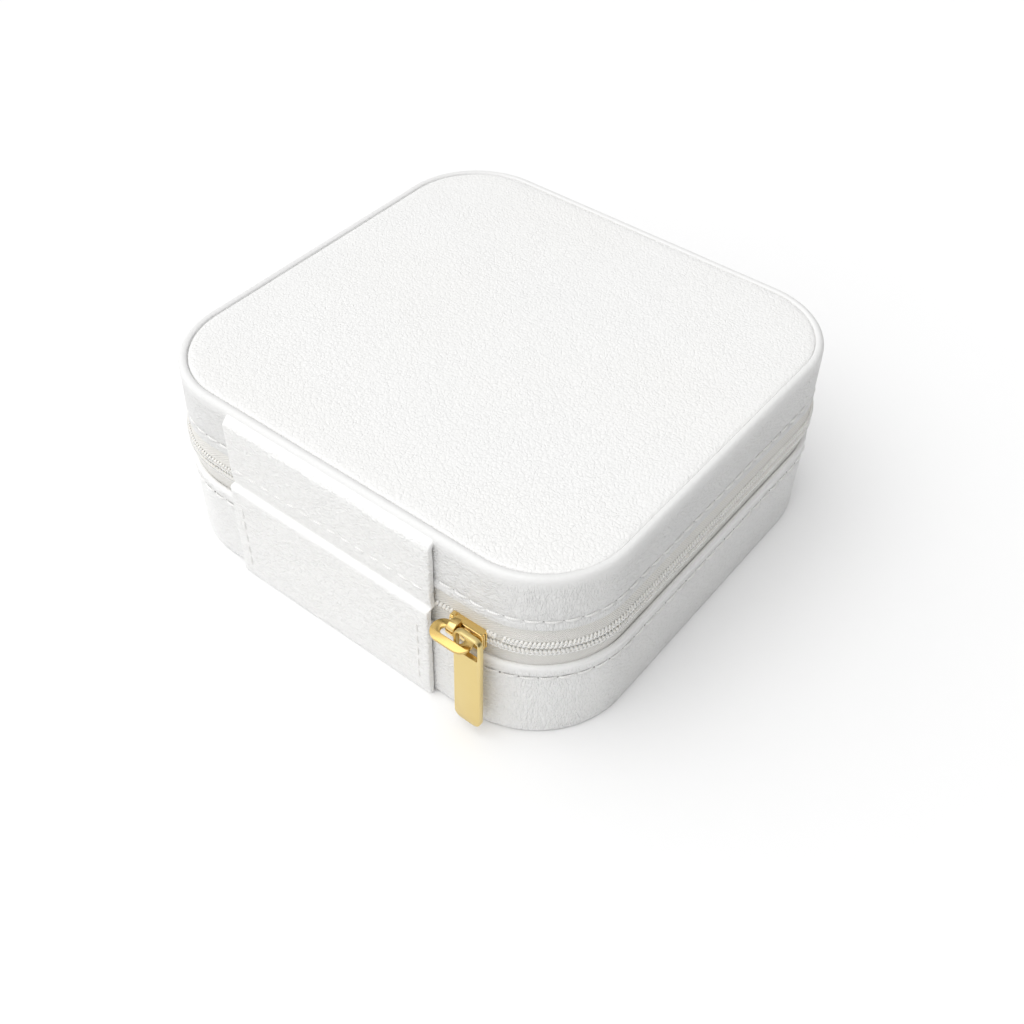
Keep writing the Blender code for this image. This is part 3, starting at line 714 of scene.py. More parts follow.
def outline_route(outline, start, end, out, up):
    """A route round an outline at a height, from one distance to another."""
    count = max(1, round((end - start) / STITCH_PITCH))
    route = []
    for k in range(count + 1):
        point, normal = outline.at(start + (end - start) * k / count)
        outward = normal.to_3d()
        place = Vector((point.x, point.y, up)) + outward * out
        route.append((place + outward * wave(place) * 0.4, outward))
    return route


# ---------------------------------------------------------------- lid


def lid_side():
    """Leather of the lid: folded under at its lower edge and rolled over a rounded shoulder at the top."""
    low = LID_LOW.z
    top = RIM_HIGH.z
    waist = low + LID_STITCH_UP
    profile = arc(HEM_SWELL - HEM_RADIUS, low + HEM_RADIUS, HEM_RADIUS, -90, 0, 5, 0.3)
    profile += [(HEM_SWELL, low + 1.4 * MM, 0.5)]
    profile += groove(waist, HEM_SWELL * 0.6, 0.06 * MM)
    profile += line((0.08 * MM, low + 3.4 * MM), (0.0, top - SHOULDER), 7)
    profile += arc(-SHOULDER, top - SHOULDER, SHOULDER, 0, 90, 12, 0.5)
    crease = ((0.32, -0.02, 0.2), (0.13, -0.13, 0.0), (0.04, -0.36, 0.0), (0, -0.9, 0.0), (0, -1.6, 0.0))
    profile += beside(top, *crease, start=-RIM_CREASE)
    profile += [(-SKIN, top - 2.6 * MM, 0.0)]
    hem = ((0, 1.5, 0.0), (-0.35, 0.9, 0.0), (-0.35, 0.1, 0.0), (0, 0, 0.0))
    profile += beside(low, *hem, start=-SKIN)
    bm = bmesh.new()
    sweep(bm, LID, profile)
    finish_mesh("lid_side_leather", bm, LID_LEATHER, "lid", ["lid_cover", "lid_rim"])


def lid_top():
    """The padded top panel: tucked down into the crease and gently crowned."""
    edge_in = RIM_CREASE - 0.02 * MM
    tuck = RIM_HIGH.z - 1.03 * MM
    crown = PAD_HIGH.z + 0.12 * MM
    rows = [(0.0, PAD_LOW.z - tuck), (0.0, -0.1 * MM), (0.03 * MM, 0.5 * MM), (0.12 * MM, 0.7 * MM)]
    rows += [(0.32 * MM, 0.83 * MM), (0.7 * MM, 0.91 * MM), (1.8 * MM, 0.96 * MM), (4.5 * MM, 0.99 * MM)]
    bm = bmesh.new()
    rings = []
    for inset, rise in rows:
        ring = []
        for point, normal in zip(LID.points, LID.normals):
            flat = point - normal * (edge_in + inset)
            place = Vector((flat.x, flat.y, tuck + rise))
            place.z += wave(place * 1.3, 0.04 * MM) * ease(rise / (0.9 * MM))
            ring.append(bm.verts.new(place))
        rings.append(ring)
    edge = [v.co.copy() for v in rings[-1]]
    edge_up = tuck + rows[-1][1]
    steps = 14
    for k in range(1, steps):
        share = k / steps
        ring = []
        for co in edge:
            up = edge_up + (crown - edge_up) * math.sin(math.pi / 2 * share)
            place = Vector((co.x * (1 - share), co.y * (1 - share), up))
            place.z += wave(place * 0.5, 0.05 * MM) + wave(place * 1.3, 0.04 * MM)
            ring.append(bm.verts.new(place))
        rings.append(ring)
    for first, second in zip(rings, rings[1:]):
        bridge(bm, first, second)
    top = bm.verts.new((0, 0, crown))
    for a, b in zip(rings[-1], rings[-1][1:] + rings[-1][:1]):
        bm.faces.new((a, b, top))
    bm.faces.new(rings[0][::-1])
    panel = finish_mesh("lid_padded_top", bm, TOP_LEATHER, "lid", ["lid_top_pad"])


def lined_tray(name, outline, profile, back, body, replaced):
    """A velvet tray: a soft inner profile that ends on the floor or roof, and a plain outer side."""
    bm = bmesh.new()
    rings = sweep(bm, outline, profile, closed=False)
    outer = sweep(bm, outline, back, closed=False)
    bridge(bm, rings[0], outer[0])
    bm.faces.new(rings[-1])
    bm.faces.new(outer[-1])
    finish_mesh(name, bm, VELVET, body, replaced)


def lid_lining():
    """Velvet lining of the lid: its walls turn out over the board's edge."""
    wall = LINING
    low = LID_LINING_LOW.z - 0.1 * MM
    inner = LID_LINING_HIGH.z - wall
    profile = beside(low, (1.9, 0.1, 0.0), (1.9, -0.15, 0.0), (0.2, -0.2, 0.0))
    profile += [(-wall * 0.7, low - 0.1 * MM, 0.3), (-wall, low + 0.5 * MM, 0.5)]
    profile += line((-wall, low + 0.5 * MM), (-wall, inner - 1.2 * MM), 4, 0.8)
    profile += arc(-wall - 1.2 * MM, inner - 1.2 * MM, 1.2 * MM, 0, 90, 4, 0.3)
    outline = Outline(LID_LINING_LOW, LID_LINING_HIGH, LID_RADIUS - 3.4 * MM)
    back = [(0.0, low + 0.1 * MM, 0.0), (0.0, inner + wall * 0.9, 0.0)]
    lined_tray("lid_velvet_lining", outline, profile, back, "lid", ["lid_lining"])


def base_lining():
    """Velvet tray of the base, with a soft top edge that covers the board."""
    wall = LINING
    high = BASE_HIGH.z
    floor = LINING_LOW.z + wall
    profile = beside(high, (1.1, -0.2, 0.0), (1.1, 0.12, 0.0), (0.4, 0.3, 0.0))
    profile += [(-wall * 0.6, high + 0.2 * MM, 0.3), (-wall, high - 0.5 * MM, 0.5)]
    profile += line((-wall, high - 0.5 * MM), (-wall, floor + 1.2 * MM), 6, 0.8)
    profile += arc(-wall - 1.2 * MM, floor + 1.2 * MM, 1.2 * MM, 0, -90, 4, 0.3)
    outline = Outline(LINING_LOW, LINING_HIGH, BASE_RADIUS - 3.4 * MM)
    back = [(0.0, high - 0.2 * MM, 0.0), (0.0, LINING_LOW.z, 0.0)]
    replaced = ["base_lining_floor", "base_lining_wall"]
    lined_tray("base_velvet_lining", outline, profile, back, "base", replaced)


def mirror_frame():
    """The mirror's soft frame: a padded velvet ridge, with the glass let into it."""
    low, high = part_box("mirror_frame")
    _, glass_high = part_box("lid_mirror")
    outline = Outline(low, high, 10.0 * MM, corner_steps=14)
    width = high.x - glass_high.x + 0.5 * MM
    top = high.z + 0.25 * MM
    profile = [(-width, top, 0.0), (0.0, top, 0.0)]
    steps = 12
    for k in range(steps + 1):
        angle = math.pi * k / steps
        out = width / 2 * (math.cos(angle) - 1)
        profile.append((out, low.z + 0.5 * MM - 0.75 * MM * math.sin(angle) ** 0.7, 0.4))
    bm = bmesh.new()
    sweep(bm, outline, profile)
    piece = finish_mesh("mirror_padded_frame", bm, VELVET, "lid", ["mirror_frame"])


# ---------------------------------------------------------------- base


def base_side():
    """Side leather of the base: folded over at the top and turned in under the bottom."""
    low = BASE_LOW.z - 0.1 * MM
    high = BASE_HIGH.z
    waist = high - BASE_STITCH_DOWN
    foot = FOOT_RADIUS
    profile = beside(low, (-4.2, 0.95, 0.0), (-4.2, 0.15, 0.0), (-2.4, 0.0, 0.0))
    profile += arc(-foot, low + foot, foot, -90, 0, 5, 0.3)
    profile += line((0.0, low + foot), (0.05 * MM, waist - 1.2 * MM), 7)
    profile += groove(waist, 0.05 * MM, 0.1 * MM)
    profile += [(0.14 * MM, waist + 1.3 * MM, 0.5)]
    profile += arc(-0.42 * MM, high - 0.54 * MM, 0.6 * MM, 5, 140, 9, 0.3)
    profile += beside(high, (-0.95, -0.45, 0.0), (-1.05, -0.7, 0.0), (-1.6, -0.7, 0.0), (-1.7, -0.1, 0.0))
    profile += beside(high, (-1.9, 0.02, 0.0), (-3.6, -0.05, 0.0), (-3.6, -0.25, 0.0))
    profile += [(-SKIN, high - 0.25 * MM, 0.0), (-SKIN, low + 2 * MM, 0.0), (-1.6 * MM, low + 0.95 * MM, 0.0)]
    bm = bmesh.new()
    sweep(bm, BASE, profile)
    finish_mesh("base_side_leather", bm, BASE_LEATHER, "base", ["base_cover"])


def ring_rolls():
    """Foam rolls under velvet: flattened where they press on each other, domed on top."""
    end_round = 2.2 * MM
    steps = 34
    for number in range(1, 5):
        name = f"ring_roll_{number}"
        low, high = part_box(name)
        middle = (low + high) / 2
        half = (high - low) / 2
        sections = []
        for k in range(steps + 1):
            share = -1 + 2 * k / steps
            past = max(0.0, (abs(share) * half.x - (half.x - end_round)) / end_round)
            cap = 1 - 0.42 * past**2.2
            section = []
            for n in range(28):
                angle = 2 * math.pi * n / 28
                c, s = math.cos(angle), math.sin(angle)
                flat = math.copysign(abs(c) ** 0.62, c)
                tall = math.copysign(abs(s) ** (0.85 if s > 0 else 0.55), s)
                shift = Vector((share * half.x, half.y * 0.985 * flat * cap, half.z * tall * cap))
                place = middle + shift
                if s > 0:
                    place.z += wave(place * 0.9, 0.22 * MM)
                section.append(place)
            sections.append(section)
        bm = bmesh.new()
        loft(bm, sections)
        roll = finish_mesh(f"velvet_{name}", bm, VELVET, "base", [name], 80)


def soft_board(name, cad_name, body):
    """A velvet-covered board: rounded edges and a slightly swollen face."""
    low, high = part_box(cad_name)
    middle = (low + high) / 2
    half = (high - low) / 2
    thin = min(range(3), key=lambda k: half[k])
    bm = bmesh.new()
    bmesh.ops.create_cube(bm, size=1.0)
    bmesh.ops.scale(bm, vec=high - low, verts=bm.verts)
    bmesh.ops.translate(bm, vec=middle, verts=bm.verts)
    bmesh.ops.subdivide_edges(bm, edges=bm.edges, cuts=7, use_grid_fill=True)
    for vert in bm.verts:
        fullness = 1.0
        for k in range(3):
            if k != thin:
                reach = abs(vert.co[k] - middle[k]) / half[k]
                fullness *= 1 - 0.55 * max(0.0, (reach - 0.9) / 0.1) ** 2
        vert.co[thin] = middle[thin] + (vert.co[thin] - middle[thin]) * fullness
    piece = finish_mesh(name, bm, VELVET, body, [cad_name], 80)
    modifier = piece.modifiers.new("soft_edges", "SUBSURF")
    modifier.levels = modifier.render_levels = 1


# ---------------------------------------------------------------- hinge


def panel_rows():
    """Height and outward place of the panel's outer face, from its top edge to its foot."""
    up_face = PANEL_UP_HIGH.y
    down_face = PANEL_DOWN_HIGH.y
    lid_wall = LID_HIGH.y
    shoulder = RIM_HIGH.z - SHOULDER
    rows = []
    steps = 14
    top = RIM_HIGH.z - 0.5 * MM
    start = top - 2.2 * MM
    for k in range(steps, -1, -1):
        up = start + (top - start) * k / steps
        over = max(0.0, up - shoulder)
        roll = SHOULDER - math.sqrt(SHOULDER**2 - over**2)
        lift = (up_face - lid_wall + 0.1 * MM) * (1 - ease(k / steps)) - 0.1 * MM
        rows.append((up, lid_wall + lift - roll))
    stop = FOLD.z + 3.4 * MM
    for k in range(1, 7):
        rows.append((start + (stop - start) * k / 6, up_face - 0.08 * MM * math.sin(math.pi * k / 6)))
    fold = FOLD.z
    for above, out in ((2.2, -0.08), (1.2, -0.2), (0.55, -0.34), (0.15, -0.4), (-0.1, -0.34), (-0.2, -0.1)):
        rows.append((fold + above * MM, up_face + out * MM))
    for below, out in ((0.22, -0.45), (0.27, -0.2), (0.38, -0.06), (0.6, 0.02), (1.0, 0.06), (2.4, 0.08)):
        rows.append((fold - below * MM, down_face + out * MM))
    start = fold - 2.4 * MM
    foot = PANEL_DOWN_LOW.z + 0.6 * MM
    for k in range(1, 11):
        rows.append((start + (foot - start) * k / 10, down_face + 0.08 * MM * (1 - k / 10)))
    rows += [(PANEL_DOWN_LOW.z + 0.2 * MM, down_face - 0.12 * MM), (PANEL_DOWN_LOW.z, down_face - 0.4 * MM)]
    return rows


def hinge_panel():
    """The leather panel over the back, one piece with a crease at the fold that thins out over the lid's
    edge.
    """
    left, right = PANEL_DOWN_HIGH.x, PANEL_DOWN_LOW.x
    columns = 46
    edge = 0.35 * MM
    xs = [right, right + edge * 0.4, right + edge]
    xs += [right + edge + (left - right - 2 * edge) * k / columns for k in range(1, columns)]
    xs += [left - edge, left - edge * 0.4, left]
    outer = []
    inner = []
    for up, face in panel_rows():
        outer_row = []
        for x in xs:
            from_edge = min(x - right, left - x)
            drop = 0.8 * edge * (1 - min(1.0, from_edge / edge)) ** 2
            outer_row.append(Vector((x, face - drop + wave(Vector((x, face, up)), 0.08 * MM), up)))
        outer.append(outer_row)
        inner.append([Vector((x, face - 1.05 * MM, up)) for x in xs])
    bm = bmesh.new()
    sheet(bm, outer, inner)
    halves = ["hinge_panel_upper", "hinge_panel_lower"]
    panel = finish_mesh("hinge_leather_panel", bm, PANEL_LEATHER, None, halves, 60)
    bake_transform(panel)


def panel_sewing():
    """The lid's stitch line runs on across the panel, and the lower half is sewn down both sides."""
    out = Vector((0, 1, 0))
    right = PANEL_DOWN_LOW.x
    left = PANEL_DOWN_HIGH.x
    span = left - right - 2 * MM
    count = round(span / STITCH_PITCH)
    level = FOLD.z + 4.1 * MM
    face = PANEL_UP_HIGH.y - SUNK_STITCH
    across = [(Vector((left - 1 * MM - span * k / count, face, level)), out) for k in range(count + 1)]
    sew("panel_line", "lid", across)
    face = PANEL_DOWN_HIGH.y + 0.08 * MM - SUNK_STITCH
    top = FOLD.z - 4.5 * MM
    foot = PANEL_DOWN_LOW.z + 3.0 * MM
    rows = round((top - foot) / STITCH_PITCH)
    for side, x in (("right", right + SIDE_STITCH_IN), ("left", left - SIDE_STITCH_IN)):
        route = [(Vector((x, face, top + (foot - top) * k / rows)), out) for k in range(rows + 1)]
        sew(f"panel_side_{side}", "base", route)


def hinge_lining():
    """A velvet strip that covers the fold from inside."""
    left = PANEL_DOWN_HIGH.x - 1 * MM
    right = PANEL_DOWN_LOW.x + 1 * MM
    low = BASE_HIGH.z - 1.0 * MM
    high = LID_LOW.z + 1.2 * MM
    columns = 30
    rows = 14
    grids = []
    for depth in (2.6 * MM, 3.1 * MM):
        grid = []
        for r in range(rows + 1):
            up = low + (high - low) * r / rows
            y = BASE_HIGH.y - depth - 0.5 * MM * math.sin(math.pi * r / rows)
            xs = [right + (left - right) * c / columns for c in range(columns + 1)]
            grid.append([Vector((x, y + wave(Vector((x, 0, up)), 0.15 * MM), up)) for x in xs])
        grids.append(grid)
    bm = bmesh.new()
    sheet(bm, *grids)
    strip = finish_mesh("hinge_velvet_strip", bm, VELVET, None, (), 80)
    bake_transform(strip)


# ---------------------------------------------------------------- zip


def held(distance):
    """1 inside the slider, fading to 0 along the zip."""
    middle = ZIP.back_wall((SLIDER_LOW.x + SLIDER_HIGH.x) / 2)
    away = abs(distance % ZIP.total - middle)
    return ease(1 - (away - SLIDER_LENGTH / 2) / DIP_REACH)


def dip(distance):
    """How far the chain hangs below its line: it is pulled down beside the slider."""
    return ZIP_DIP * held(distance)


def bulge(distance):
    """How far the chain stands out from its line. The tapes push it out, and the slider holds it in."""
    return ZIP_BULGE + (SLIDER_BULGE - ZIP_BULGE) * held(distance)


def tape(name, body, start, end, chain, hidden, hidden_out, replaced):
    """A woven tape along the zip's line, bulging from its hidden edge to the chain's middle."""
    steps = max(4, round((end - start) / (1.2 * MM)))
    levels = 8
    outer = []
    inner = []
    for k in range(steps + 1):
        distance = start + (end - start) * k / steps
        point, normal = ZIP.at(distance)
        sag = dip(distance)
        reach = bulge(distance) - COIL_PROUD - TAPE_INSET
        foot = min(hidden_out, reach)
        front = []
        back = []
        for n in range(levels + 1):
            share = n / levels
            up = hidden + (chain - hidden) * share - sag * share
            out = foot + (reach - foot) * math.sin(math.pi / 2 * share)
            spot = Vector((point.x + normal.x * out, point.y + normal.y * out, up))
            front.append(spot)
            back.append(spot - normal.to_3d() * TAPE_THICKNESS)
        outer.append(front)
        inner.append(back)
    bm = bmesh.new()
    sheet(bm, outer, inner)
    finish_mesh(name, bm, TAPE, body, replaced)


# A turn of the coil from the chain's middle to its root: rise, distance across, half width and depth, in mm.
TURN = (
    (-0.34, 0.00, 0.12, 0.08),
    (-0.08, 0.08, 0.29, 0.16),
    (0.01, 0.28, 0.36, 0.2),
    (0.03, 0.55, 0.36, 0.2),
    (0.02, 0.82, 0.36, 0.2),
    (-0.02, 1.08, 0.35, 0.19),
    (-0.1, 1.28, 0.3, 0.16),
    (-0.34, 1.42, 0.12, 0.08),
)


def chain_place(distance, across, out):
    """A place on the chain, and the directions outward and along it."""
    point, normal = ZIP.at(distance)
    outward = normal.to_3d()
    along = Vector((-normal.y, normal.x, 0))
    place = Vector((point.x, point.y, CHAIN_MIDDLE - dip(distance) + across))
    place += outward * (out + bulge(distance))
    return place, outward, along


def coil(name, body, start, end, side, replaced):
    """A row of slanting coil turns whose heads mesh at the chain's middle. side is 1 above it, -1 below."""
    bm = bmesh.new()
    first = start + (0.0 if side > 0 else TOOTH_PITCH / 2)
    for k in range(int((end - first) / TOOTH_PITCH) + 1):
        distance = first + k * TOOTH_PITCH
        places = []
        for rise, across, _, _ in TURN:
            up = side * (ROW_GAP + across * MM)
            place, _, along = chain_place(distance, up, rise * MM - 0.42 * MM)
            places.append(place + along * 0.42 * (across - 0.75) * MM)
        radii = [(wide * MM, deep * MM) for _, _, wide, deep in TURN]
        loft(bm, tube_sections(places, radii, along))
    finish_mesh(name, bm, COIL, body, replaced, 70)


def coil_sewing(name, body, start, end, side):
    """The thread that holds a coil row to its tape, crossing over one turn and back over the next."""
    count = int((end - start) / TOOTH_PITCH) * 2
    places = []
    for k in range(count + 1):
        distance = start + k * TOOTH_PITCH / 2
        across = side * (ROW_GAP + (0.62 if k % 2 else 1.08) * MM)
        lift = -0.1 * MM if k % 2 else -0.2 * MM
        places.append(chain_place(distance, across, lift)[0])
    radii = [(0.12 * MM, 0.12 * MM)] * len(places)
    bm = bmesh.new()
    loft(bm, tube_sections(places, radii, Vector((0, 0, 1)), 6))
    finish_mesh(name, bm, THREAD, body, (), 70)


def build_zip():
    """Lower half on the base, upper half on the lid, and the sewn end beside the slider on the base."""
    tape_low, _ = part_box("zip_tape_lower")
    _, tape_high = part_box("zip_tape_upper")
    first = ZIP.back_wall(PANEL_DOWN_LOW.x + 2 * MM)
    last = ZIP.back_wall(PANEL_DOWN_HIGH.x - 2 * MM) + ZIP.total
    nose = ZIP.back_wall(SLIDER_HIGH.x - 1.2 * MM)
    lid_first = ZIP.back_wall(TAB_LOW.x - 0.5 * MM)
    stop = last - 1.5 * MM
    tuck = 0.8 * MM
    low = tape_low.z - tuck
    high = tape_high.z + tuck
    below = CHAIN_MIDDLE - ROW_GAP * 0.6
    above = CHAIN_MIDDLE + ROW_GAP * 0.6
    end_top = LID_LOW.z - 0.4 * MM
    tape("zip_tape_base", "base", first, last, below, low, TAPE_FOOT_OUT, ["zip_tape_lower"])
    tape("zip_tape_lid", "lid", lid_first, last, above, high, TAPE_HEAD_OUT, ["zip_tape_upper"])
    sewn_end = lid_first - 0.02 * MM
    tape("zip_tape_sewn_end", "base", first, sewn_end, above, end_top, TAPE_HEAD_OUT, ["zip_tape_end"])
    coil("zip_coil_base", "base", nose, stop, -1, ["zip_teeth_lower"])
    coil("zip_coil_lid", "lid", lid_first + 0.7 * MM, stop, 1, ["zip_teeth_upper"])
    tail = ZIP.back_wall(SLIDER_LOW.x)
    clear = ZIP.back_wall(SLIDER_LOW.x + SLIDER_LENGTH + 0.4 * MM)
    coil("zip_coil_sewn_end", "base", first + 2.2 * MM, clear, 1, ())
    coil("zip_coil_at_slider", "base", tail, lid_first - 0.7 * MM, 1, ())
    coil_sewing("zip_sewing_base", "base", nose, stop, -1)
    coil_sewing("zip_sewing_lid", "lid", lid_first + 0.7 * MM, stop, 1)


# ---------------------------------------------------------------- slider, ring and tab


def plate_mesh(name, outlines, thickness, bevel, matrix, segments=1):
    """A plate from flat outlines with rounded edges, as a mesh in world coordinates."""
    data = bpy.data.curves.new(name, "CURVE")
    data.dimensions = "2D"
    data.fill_mode = "BOTH"
    data.extrude = thickness / 2 - bevel
    data.bevel_depth = bevel
    data.bevel_resolution = segments
    data.offset = -bevel
    for outline in outlines:
        spline = data.splines.new("POLY")
        spline.points.add(len(outline) - 1)
        for target, point in zip(spline.points, outline):
            target.co = (point[0], point[1], 0, 1)
        spline.use_cyclic_u = True
    guide = put(name + "_guide", data)
    bpy.context.view_layer.update()
    graph = bpy.context.evaluated_depsgraph_get()
    mesh = bpy.data.meshes.new_from_object(guide.evaluated_get(graph))
    bm = bmesh.new()
    bm.from_mesh(mesh)
    bmesh.ops.remove_doubles(bm, verts=bm.verts, dist=0.003 * MM)
    bmesh.ops.transform(bm, matrix=matrix, verts=bm.verts)
    bpy.data.objects.remove(guide, do_unlink=True)
    bpy.data.curves.remove(data)
    bpy.data.meshes.remove(mesh)
    return bm


def rounded(low, high, radius, steps=8):
    """A flat rounded rectangle, anticlockwise."""
    made = []
    corners = (
        (high[0] - radius, high[1] - radius, 0),
        (low[0] + radius, high[1] - radius, 90),
        (low[0] + radius, low[1] + radius, 180),
        (high[0] - radius, low[1] + radius, 270),
    )
    for cx, cy, first in corners:
        for k in range(steps + 1):
            angle = math.radians(first + 90 * k / steps)
            made.append((cx + radius * math.cos(angle), cy + radius * math.sin(angle)))
    return made


def facing_back(origin):
    """Takes a flat outline's X to -X and its Y to +Z, facing +Y, at a point."""
    turn = Matrix(((-1, 0, 0), (0, 0, 1), (0, 1, 0)))
    return Matrix.Translation(origin) @ turn.to_4x4()


def rounded_bar(bm, x, y, z, bevel):
    """Adds a bar with rounded edges, between two places on each axis."""
    low, high = (Vector(corner) for corner in zip(x, y, z))
    made = bmesh.ops.create_cube(bm, size=1.0)["verts"]
    bmesh.ops.scale(bm, vec=high - low, verts=made)
    bmesh.ops.translate(bm, vec=(low + high) / 2, verts=made)
    edges = list(dict.fromkeys(edge for vert in made for edge in vert.link_edges))
    bmesh.ops.bevel(bm, geom=edges, offset=bevel, segments=3, profile=0.5, affect="EDGES")


def slider():
    """The cast slider: front plate, flanges that curl over the coil, back plate, web and crown."""
    inner = ZIP_FACE + FRONT_PLATE_PROUD
    front = inner + PLATE
    back = ZIP_FACE - BACK_PLATE_INSET
    right = SLIDER_LOW.x
    left = right + SLIDER_LENGTH
    low, high = SLIDER_LOW.z, SLIDER_HIGH.z - SLIDER_DROP
    middle = (right + left) / 2
    half_u = SLIDER_LENGTH / 2
    half_v = (high - low) / 2
    outline = [(half_u - 0.4 * MM, -half_v), (half_u, -half_v + 0.5 * MM), (half_u, half_v - 0.5 * MM)]
    outline += [(half_u - 0.4 * MM, half_v), (-half_u + 0.3 * MM, half_v), (-half_u, half_v - 0.4 * MM)]
    outline += [(-half_u, -half_v + 0.4 * MM), (-half_u + 0.3 * MM, -half_v)]
    place = facing_back(Vector((middle, (front + inner) / 2, (low + high) / 2)))
    bm = plate_mesh("slider_plate", (outline,), PLATE, 0.2 * MM, place)
    rounded_bar(bm, (right, left), (back - PLATE, back), (low, high), 0.2 * MM)
    web = CHAIN_MIDDLE - ZIP_DIP
    web_x = (middle - 0.8 * MM, middle + 0.8 * MM)
    rounded_bar(bm, web_x, (back - 0.2 * MM, inner + 0.2 * MM), (web - 0.15 * MM, web + 0.15 * MM), 0.05 * MM)
    flange_x = (right + 0.02 * MM, left - 0.1 * MM)
    for flange_z in ((high - 0.5 * MM, high), (low, low + 0.5 * MM)):
        rounded_bar(bm, flange_x, (inner - 0.95 * MM, front + 0.02 * MM), flange_z, 0.12 * MM)
    ridge_x = (right - 0.22 * MM, right + 0.3 * MM)
    for near, far in ((-0.85, -0.4), (-0.2, 0.2), (0.35, 0.7)):
        ridge_y = (inner + near * MM, inner + far * MM)
        rounded_bar(bm, ridge_x, ridge_y, (low + 0.3 * MM, high - 0.25 * MM), 0.14 * MM)
    notch_x = (left - 0.9 * MM, left - 0.05 * MM)
    notch_y = (inner - 0.7 * MM, front - 0.1 * MM)
    rounded_bar(bm, notch_x, notch_y, (high - 0.2 * MM, high + 0.3 * MM), 0.15 * MM)
    crown(bm, front)
    finish_mesh("slider_casting", bm, BRIGHT_GOLD, "zip_slider", ["slider_body"], 60)


def crown(bm, front):
    """The arch that the ring hangs in: a strap across the front plate."""
    radius = CROWN_BORE + CROWN_WALL / 2
    foot_y = front - 0.3 * MM
    route = [Vector((CROWN_X, foot_y, RING_PIVOT.z - radius))]
    steps = 16
    for k in range(steps + 1):
        angle = math.radians(-90 + 180 * k / steps)
        arch = Vector((CROWN_X, radius * math.cos(angle), radius * math.sin(angle)))
        route.append(arch + Vector((0, RING_PIVOT.y, RING_PIVOT.z)))
    route.append(Vector((CROWN_X, foot_y, RING_PIVOT.z + radius)))
    radii = [(CROWN_WIDTH / 2, CROWN_WALL / 2)] * len(route)
    loft(bm, tube_sections(route, radii, Vector((1, 0, 0)), 16, 0.5))


def ring_link():
    """The flat oval ring, polished, with rounded edges."""
    low = (-RING_LENGTH / 2, -RING_BAND / 2)
    high = (RING_LENGTH / 2, RING_REACH - RING_BAND / 2)
    outer = rounded(low, high, RING_REACH / 2 - 0.01 * MM, 16)
    hole_low = (low[0] + RING_END_BAND, low[1] + RING_BAND)
    hole_high = (high[0] - RING_END_BAND, high[1] - RING_FRONT_BAND)
    hole = rounded(hole_low, hole_high, (hole_high[1] - hole_low[1]) / 2 - 0.01 * MM, 16)
    place = Matrix.Translation(RING_PIVOT) @ Matrix.Rotation(RING_DROOP, 4, "X")
    bm = plate_mesh("ring_plate", (outer, hole), RING_THICKNESS, 0.1 * MM, place)
    finish_mesh("oval_ring_link", bm, RING_GOLD, "ring_link", ["puller_ring"], 24)


def pull_tab():
    """The pull tab: a satin plate with a slot at its top and softened corners."""
    left = TAB_PIVOT.x - TAB_HIGH.x
    right = TAB_PIVOT.x - TAB_LOW.x
    foot = TAB_LOW.z - TAB_PIVOT.z
    top = TAB_HIGH.z - TAB_PIVOT.z
    outer = rounded((left, foot), (right, top), TAB_CORNER)
    slot_low = (left + TAB_BAR, top - TAB_BAR - SLOT_HEIGHT)
    slot = rounded(slot_low, (right - TAB_BAR, top - TAB_BAR), SLOT_CORNER)
    place = facing_back(Vector((TAB_PIVOT.x, (TAB_LOW.y + TAB_HIGH.y) / 2, TAB_PIVOT.z)))
    bm = plate_mesh("tab_plate", (outer, slot), TAB_HIGH.y - TAB_LOW.y, 0.13 * MM, place)
    finish_mesh("satin_pull_tab", bm, SATIN_GOLD, "tab", ["pull_tab"], 24)


# ---------------------------------------------------------------- stage


def add_floor():
    """A wide white floor, for the picture only."""
    bm = bmesh.new()
    bmesh.ops.create_grid(bm, x_segments=2, y_segments=2, size=6.0)
    mesh = bpy.data.meshes.new("floor")
    bm.to_mesh(mesh)
    bm.free()
    floor = put("floor", mesh)
    mesh.materials.append(studio_floor("floor_white"))


def add_light():
    """A soft, high key from the hinge side, and a white sky that is brightest near it.

    The camera itself sees plain white in place of the sky.
    """
    sun_data = bpy.data.lights.new("key", "SUN")
    sun_data.energy = KEY_STRENGTH
    sun_data.angle = math.radians(KEY_ANGLE)
    sun = put("key", sun_data)
    sun.rotation_euler = Vector(KEY_FROM).to_track_quat("Z", "Y").to_euler()
    world = bpy.data.worlds.new("studio")
    bpy.context.scene.world = world
    world.use_nodes = True
    tree = world.node_tree
    coords = tree.nodes.new("ShaderNodeTexCoord")
    toward = tree.nodes.new("ShaderNodeVectorMath")
    toward.operation = "DOT_PRODUCT"
    toward.inputs[1].default_value = Vector(SKY_TOWARDS).normalized()
    ramp = tree.nodes.new("ShaderNodeValToRGB")
    ramp.color_ramp.elements[0].color = (SKY_LOW, SKY_LOW, SKY_LOW, 1)
    ramp.color_ramp.elements[1].color = (SKY_HIGH, SKY_HIGH, SKY_HIGH, 1)
    tree.links.new(coords.outputs["Generated"], toward.inputs[0])
    tree.links.new(toward.outputs["Value"], ramp.inputs[0])
    rays = tree.nodes.new("ShaderNodeLightPath")
    backdrop = tree.nodes.new("ShaderNodeMix")
    backdrop.data_type = "RGBA"
    sky, plain = (backdrop.inputs[socket] for socket in MIX_COLOURS)
    plain.default_value = (1, 1, 1, 1)
    tree.links.new(rays.outputs["Is Camera Ray"], backdrop.inputs[MIX_SHARE])
    tree.links.new(ramp.outputs[0], sky)
    tree.links.new(backdrop.outputs[MIX_COLOUR_OUT], tree.nodes["Background"].inputs[0])


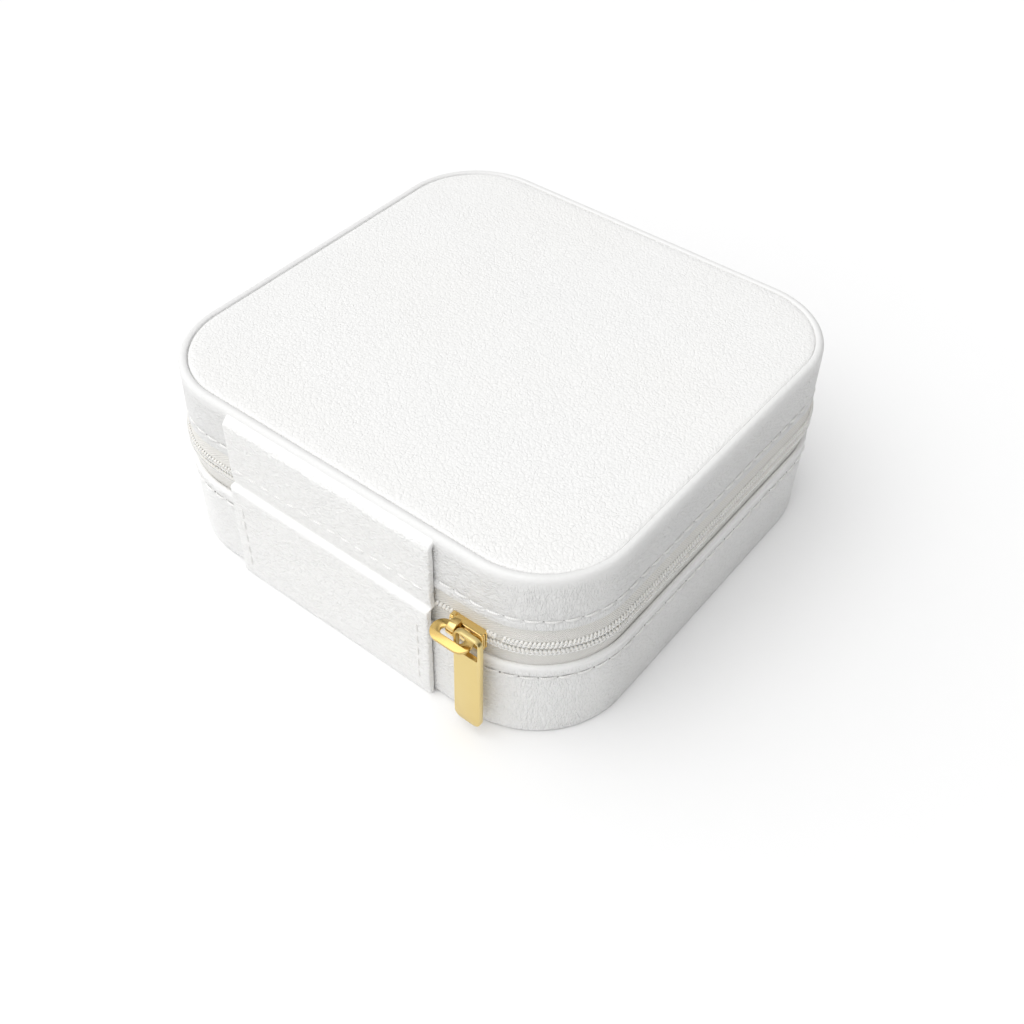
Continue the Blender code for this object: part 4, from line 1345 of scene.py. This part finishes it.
def add_camera():
    """The camera stands behind the case, to its right, and looks down at it."""
    data = bpy.data.cameras.new("camera")
    data.sensor_width = 36.0
    data.lens = 44.43
    data.clip_start = 0.01
    camera = put("camera", data)
    azimuth = math.radians(217.011)
    elevation = math.radians(45.791)
    distance = 234.32 * MM
    roll = math.radians(1.676)
    target = Vector((-20.225, 23.335, 25.0)) * MM
    level = math.cos(elevation)
    back = Vector((math.sin(azimuth) * level, -math.cos(azimuth) * level, math.sin(elevation)))
    right = Vector((0, 0, 1)).cross(back).normalized()
    up = back.cross(right)
    turned_right = math.cos(roll) * right + math.sin(roll) * up
    turned_up = -math.sin(roll) * right + math.cos(roll) * up
    rotation = Matrix((turned_right, turned_up, back)).transposed()
    camera.matrix_world = Matrix.Translation(target + back * distance) @ rotation.to_4x4()
    bpy.context.scene.camera = camera


def dress_cad_nodes():
    """Gives the CAD nodes that stay visible their finished materials."""
    card = chipboard("chipboard")
    chosen = {
        "base_bottom_panel": BASE_LEATHER,
        "base_floor_board": card,
        "base_wall_board": card,
        "lid_top_board": card,
        "lid_wall_board": card,
        "lid_mirror": silvered("mirror_silver"),
        "zip_end_stop_left": COIL,
        "zip_end_stop_right": COIL,
    }
    for name, material in chosen.items():
        node = frame["nodes"][name]
        node.data.materials.clear()
        node.data.materials.append(material)


def sew_cases():
    """The stitch lines round the lid and the base, from one edge of the hinge panel to the other."""
    lines = (
        ("lid_line", "lid", LID, -STITCH_GROOVE, LID_LOW.z + LID_STITCH_UP),
        ("base_line", "base", BASE, -BASE_STITCH_SINK, BASE_HIGH.z - BASE_STITCH_DOWN),
    )
    for name, body, outline, out, level in lines:
        start = outline.back_wall(PANEL_DOWN_LOW.x - 0.6 * MM)
        end = outline.back_wall(PANEL_DOWN_HIGH.x + 0.6 * MM) + outline.total
        sew(name, body, outline_route(outline, start, end, out, level))


add_camera()
add_floor()
add_light()
dress_cad_nodes()
lid_side()
lid_top()
lid_lining()
mirror_frame()
base_side()
base_lining()
ring_rolls()
soft_board("velvet_partition", "ring_bed_partition", "base")
soft_board("velvet_divider_right", "divider_right", "divider_right")
soft_board("velvet_divider_left", "divider_left", "divider_left")
hinge_panel()
panel_sewing()
hinge_lining()
sew_cases()
build_zip()
slider()
ring_link()
pull_tab()

bpy.context.scene.view_settings.view_transform = "Standard"
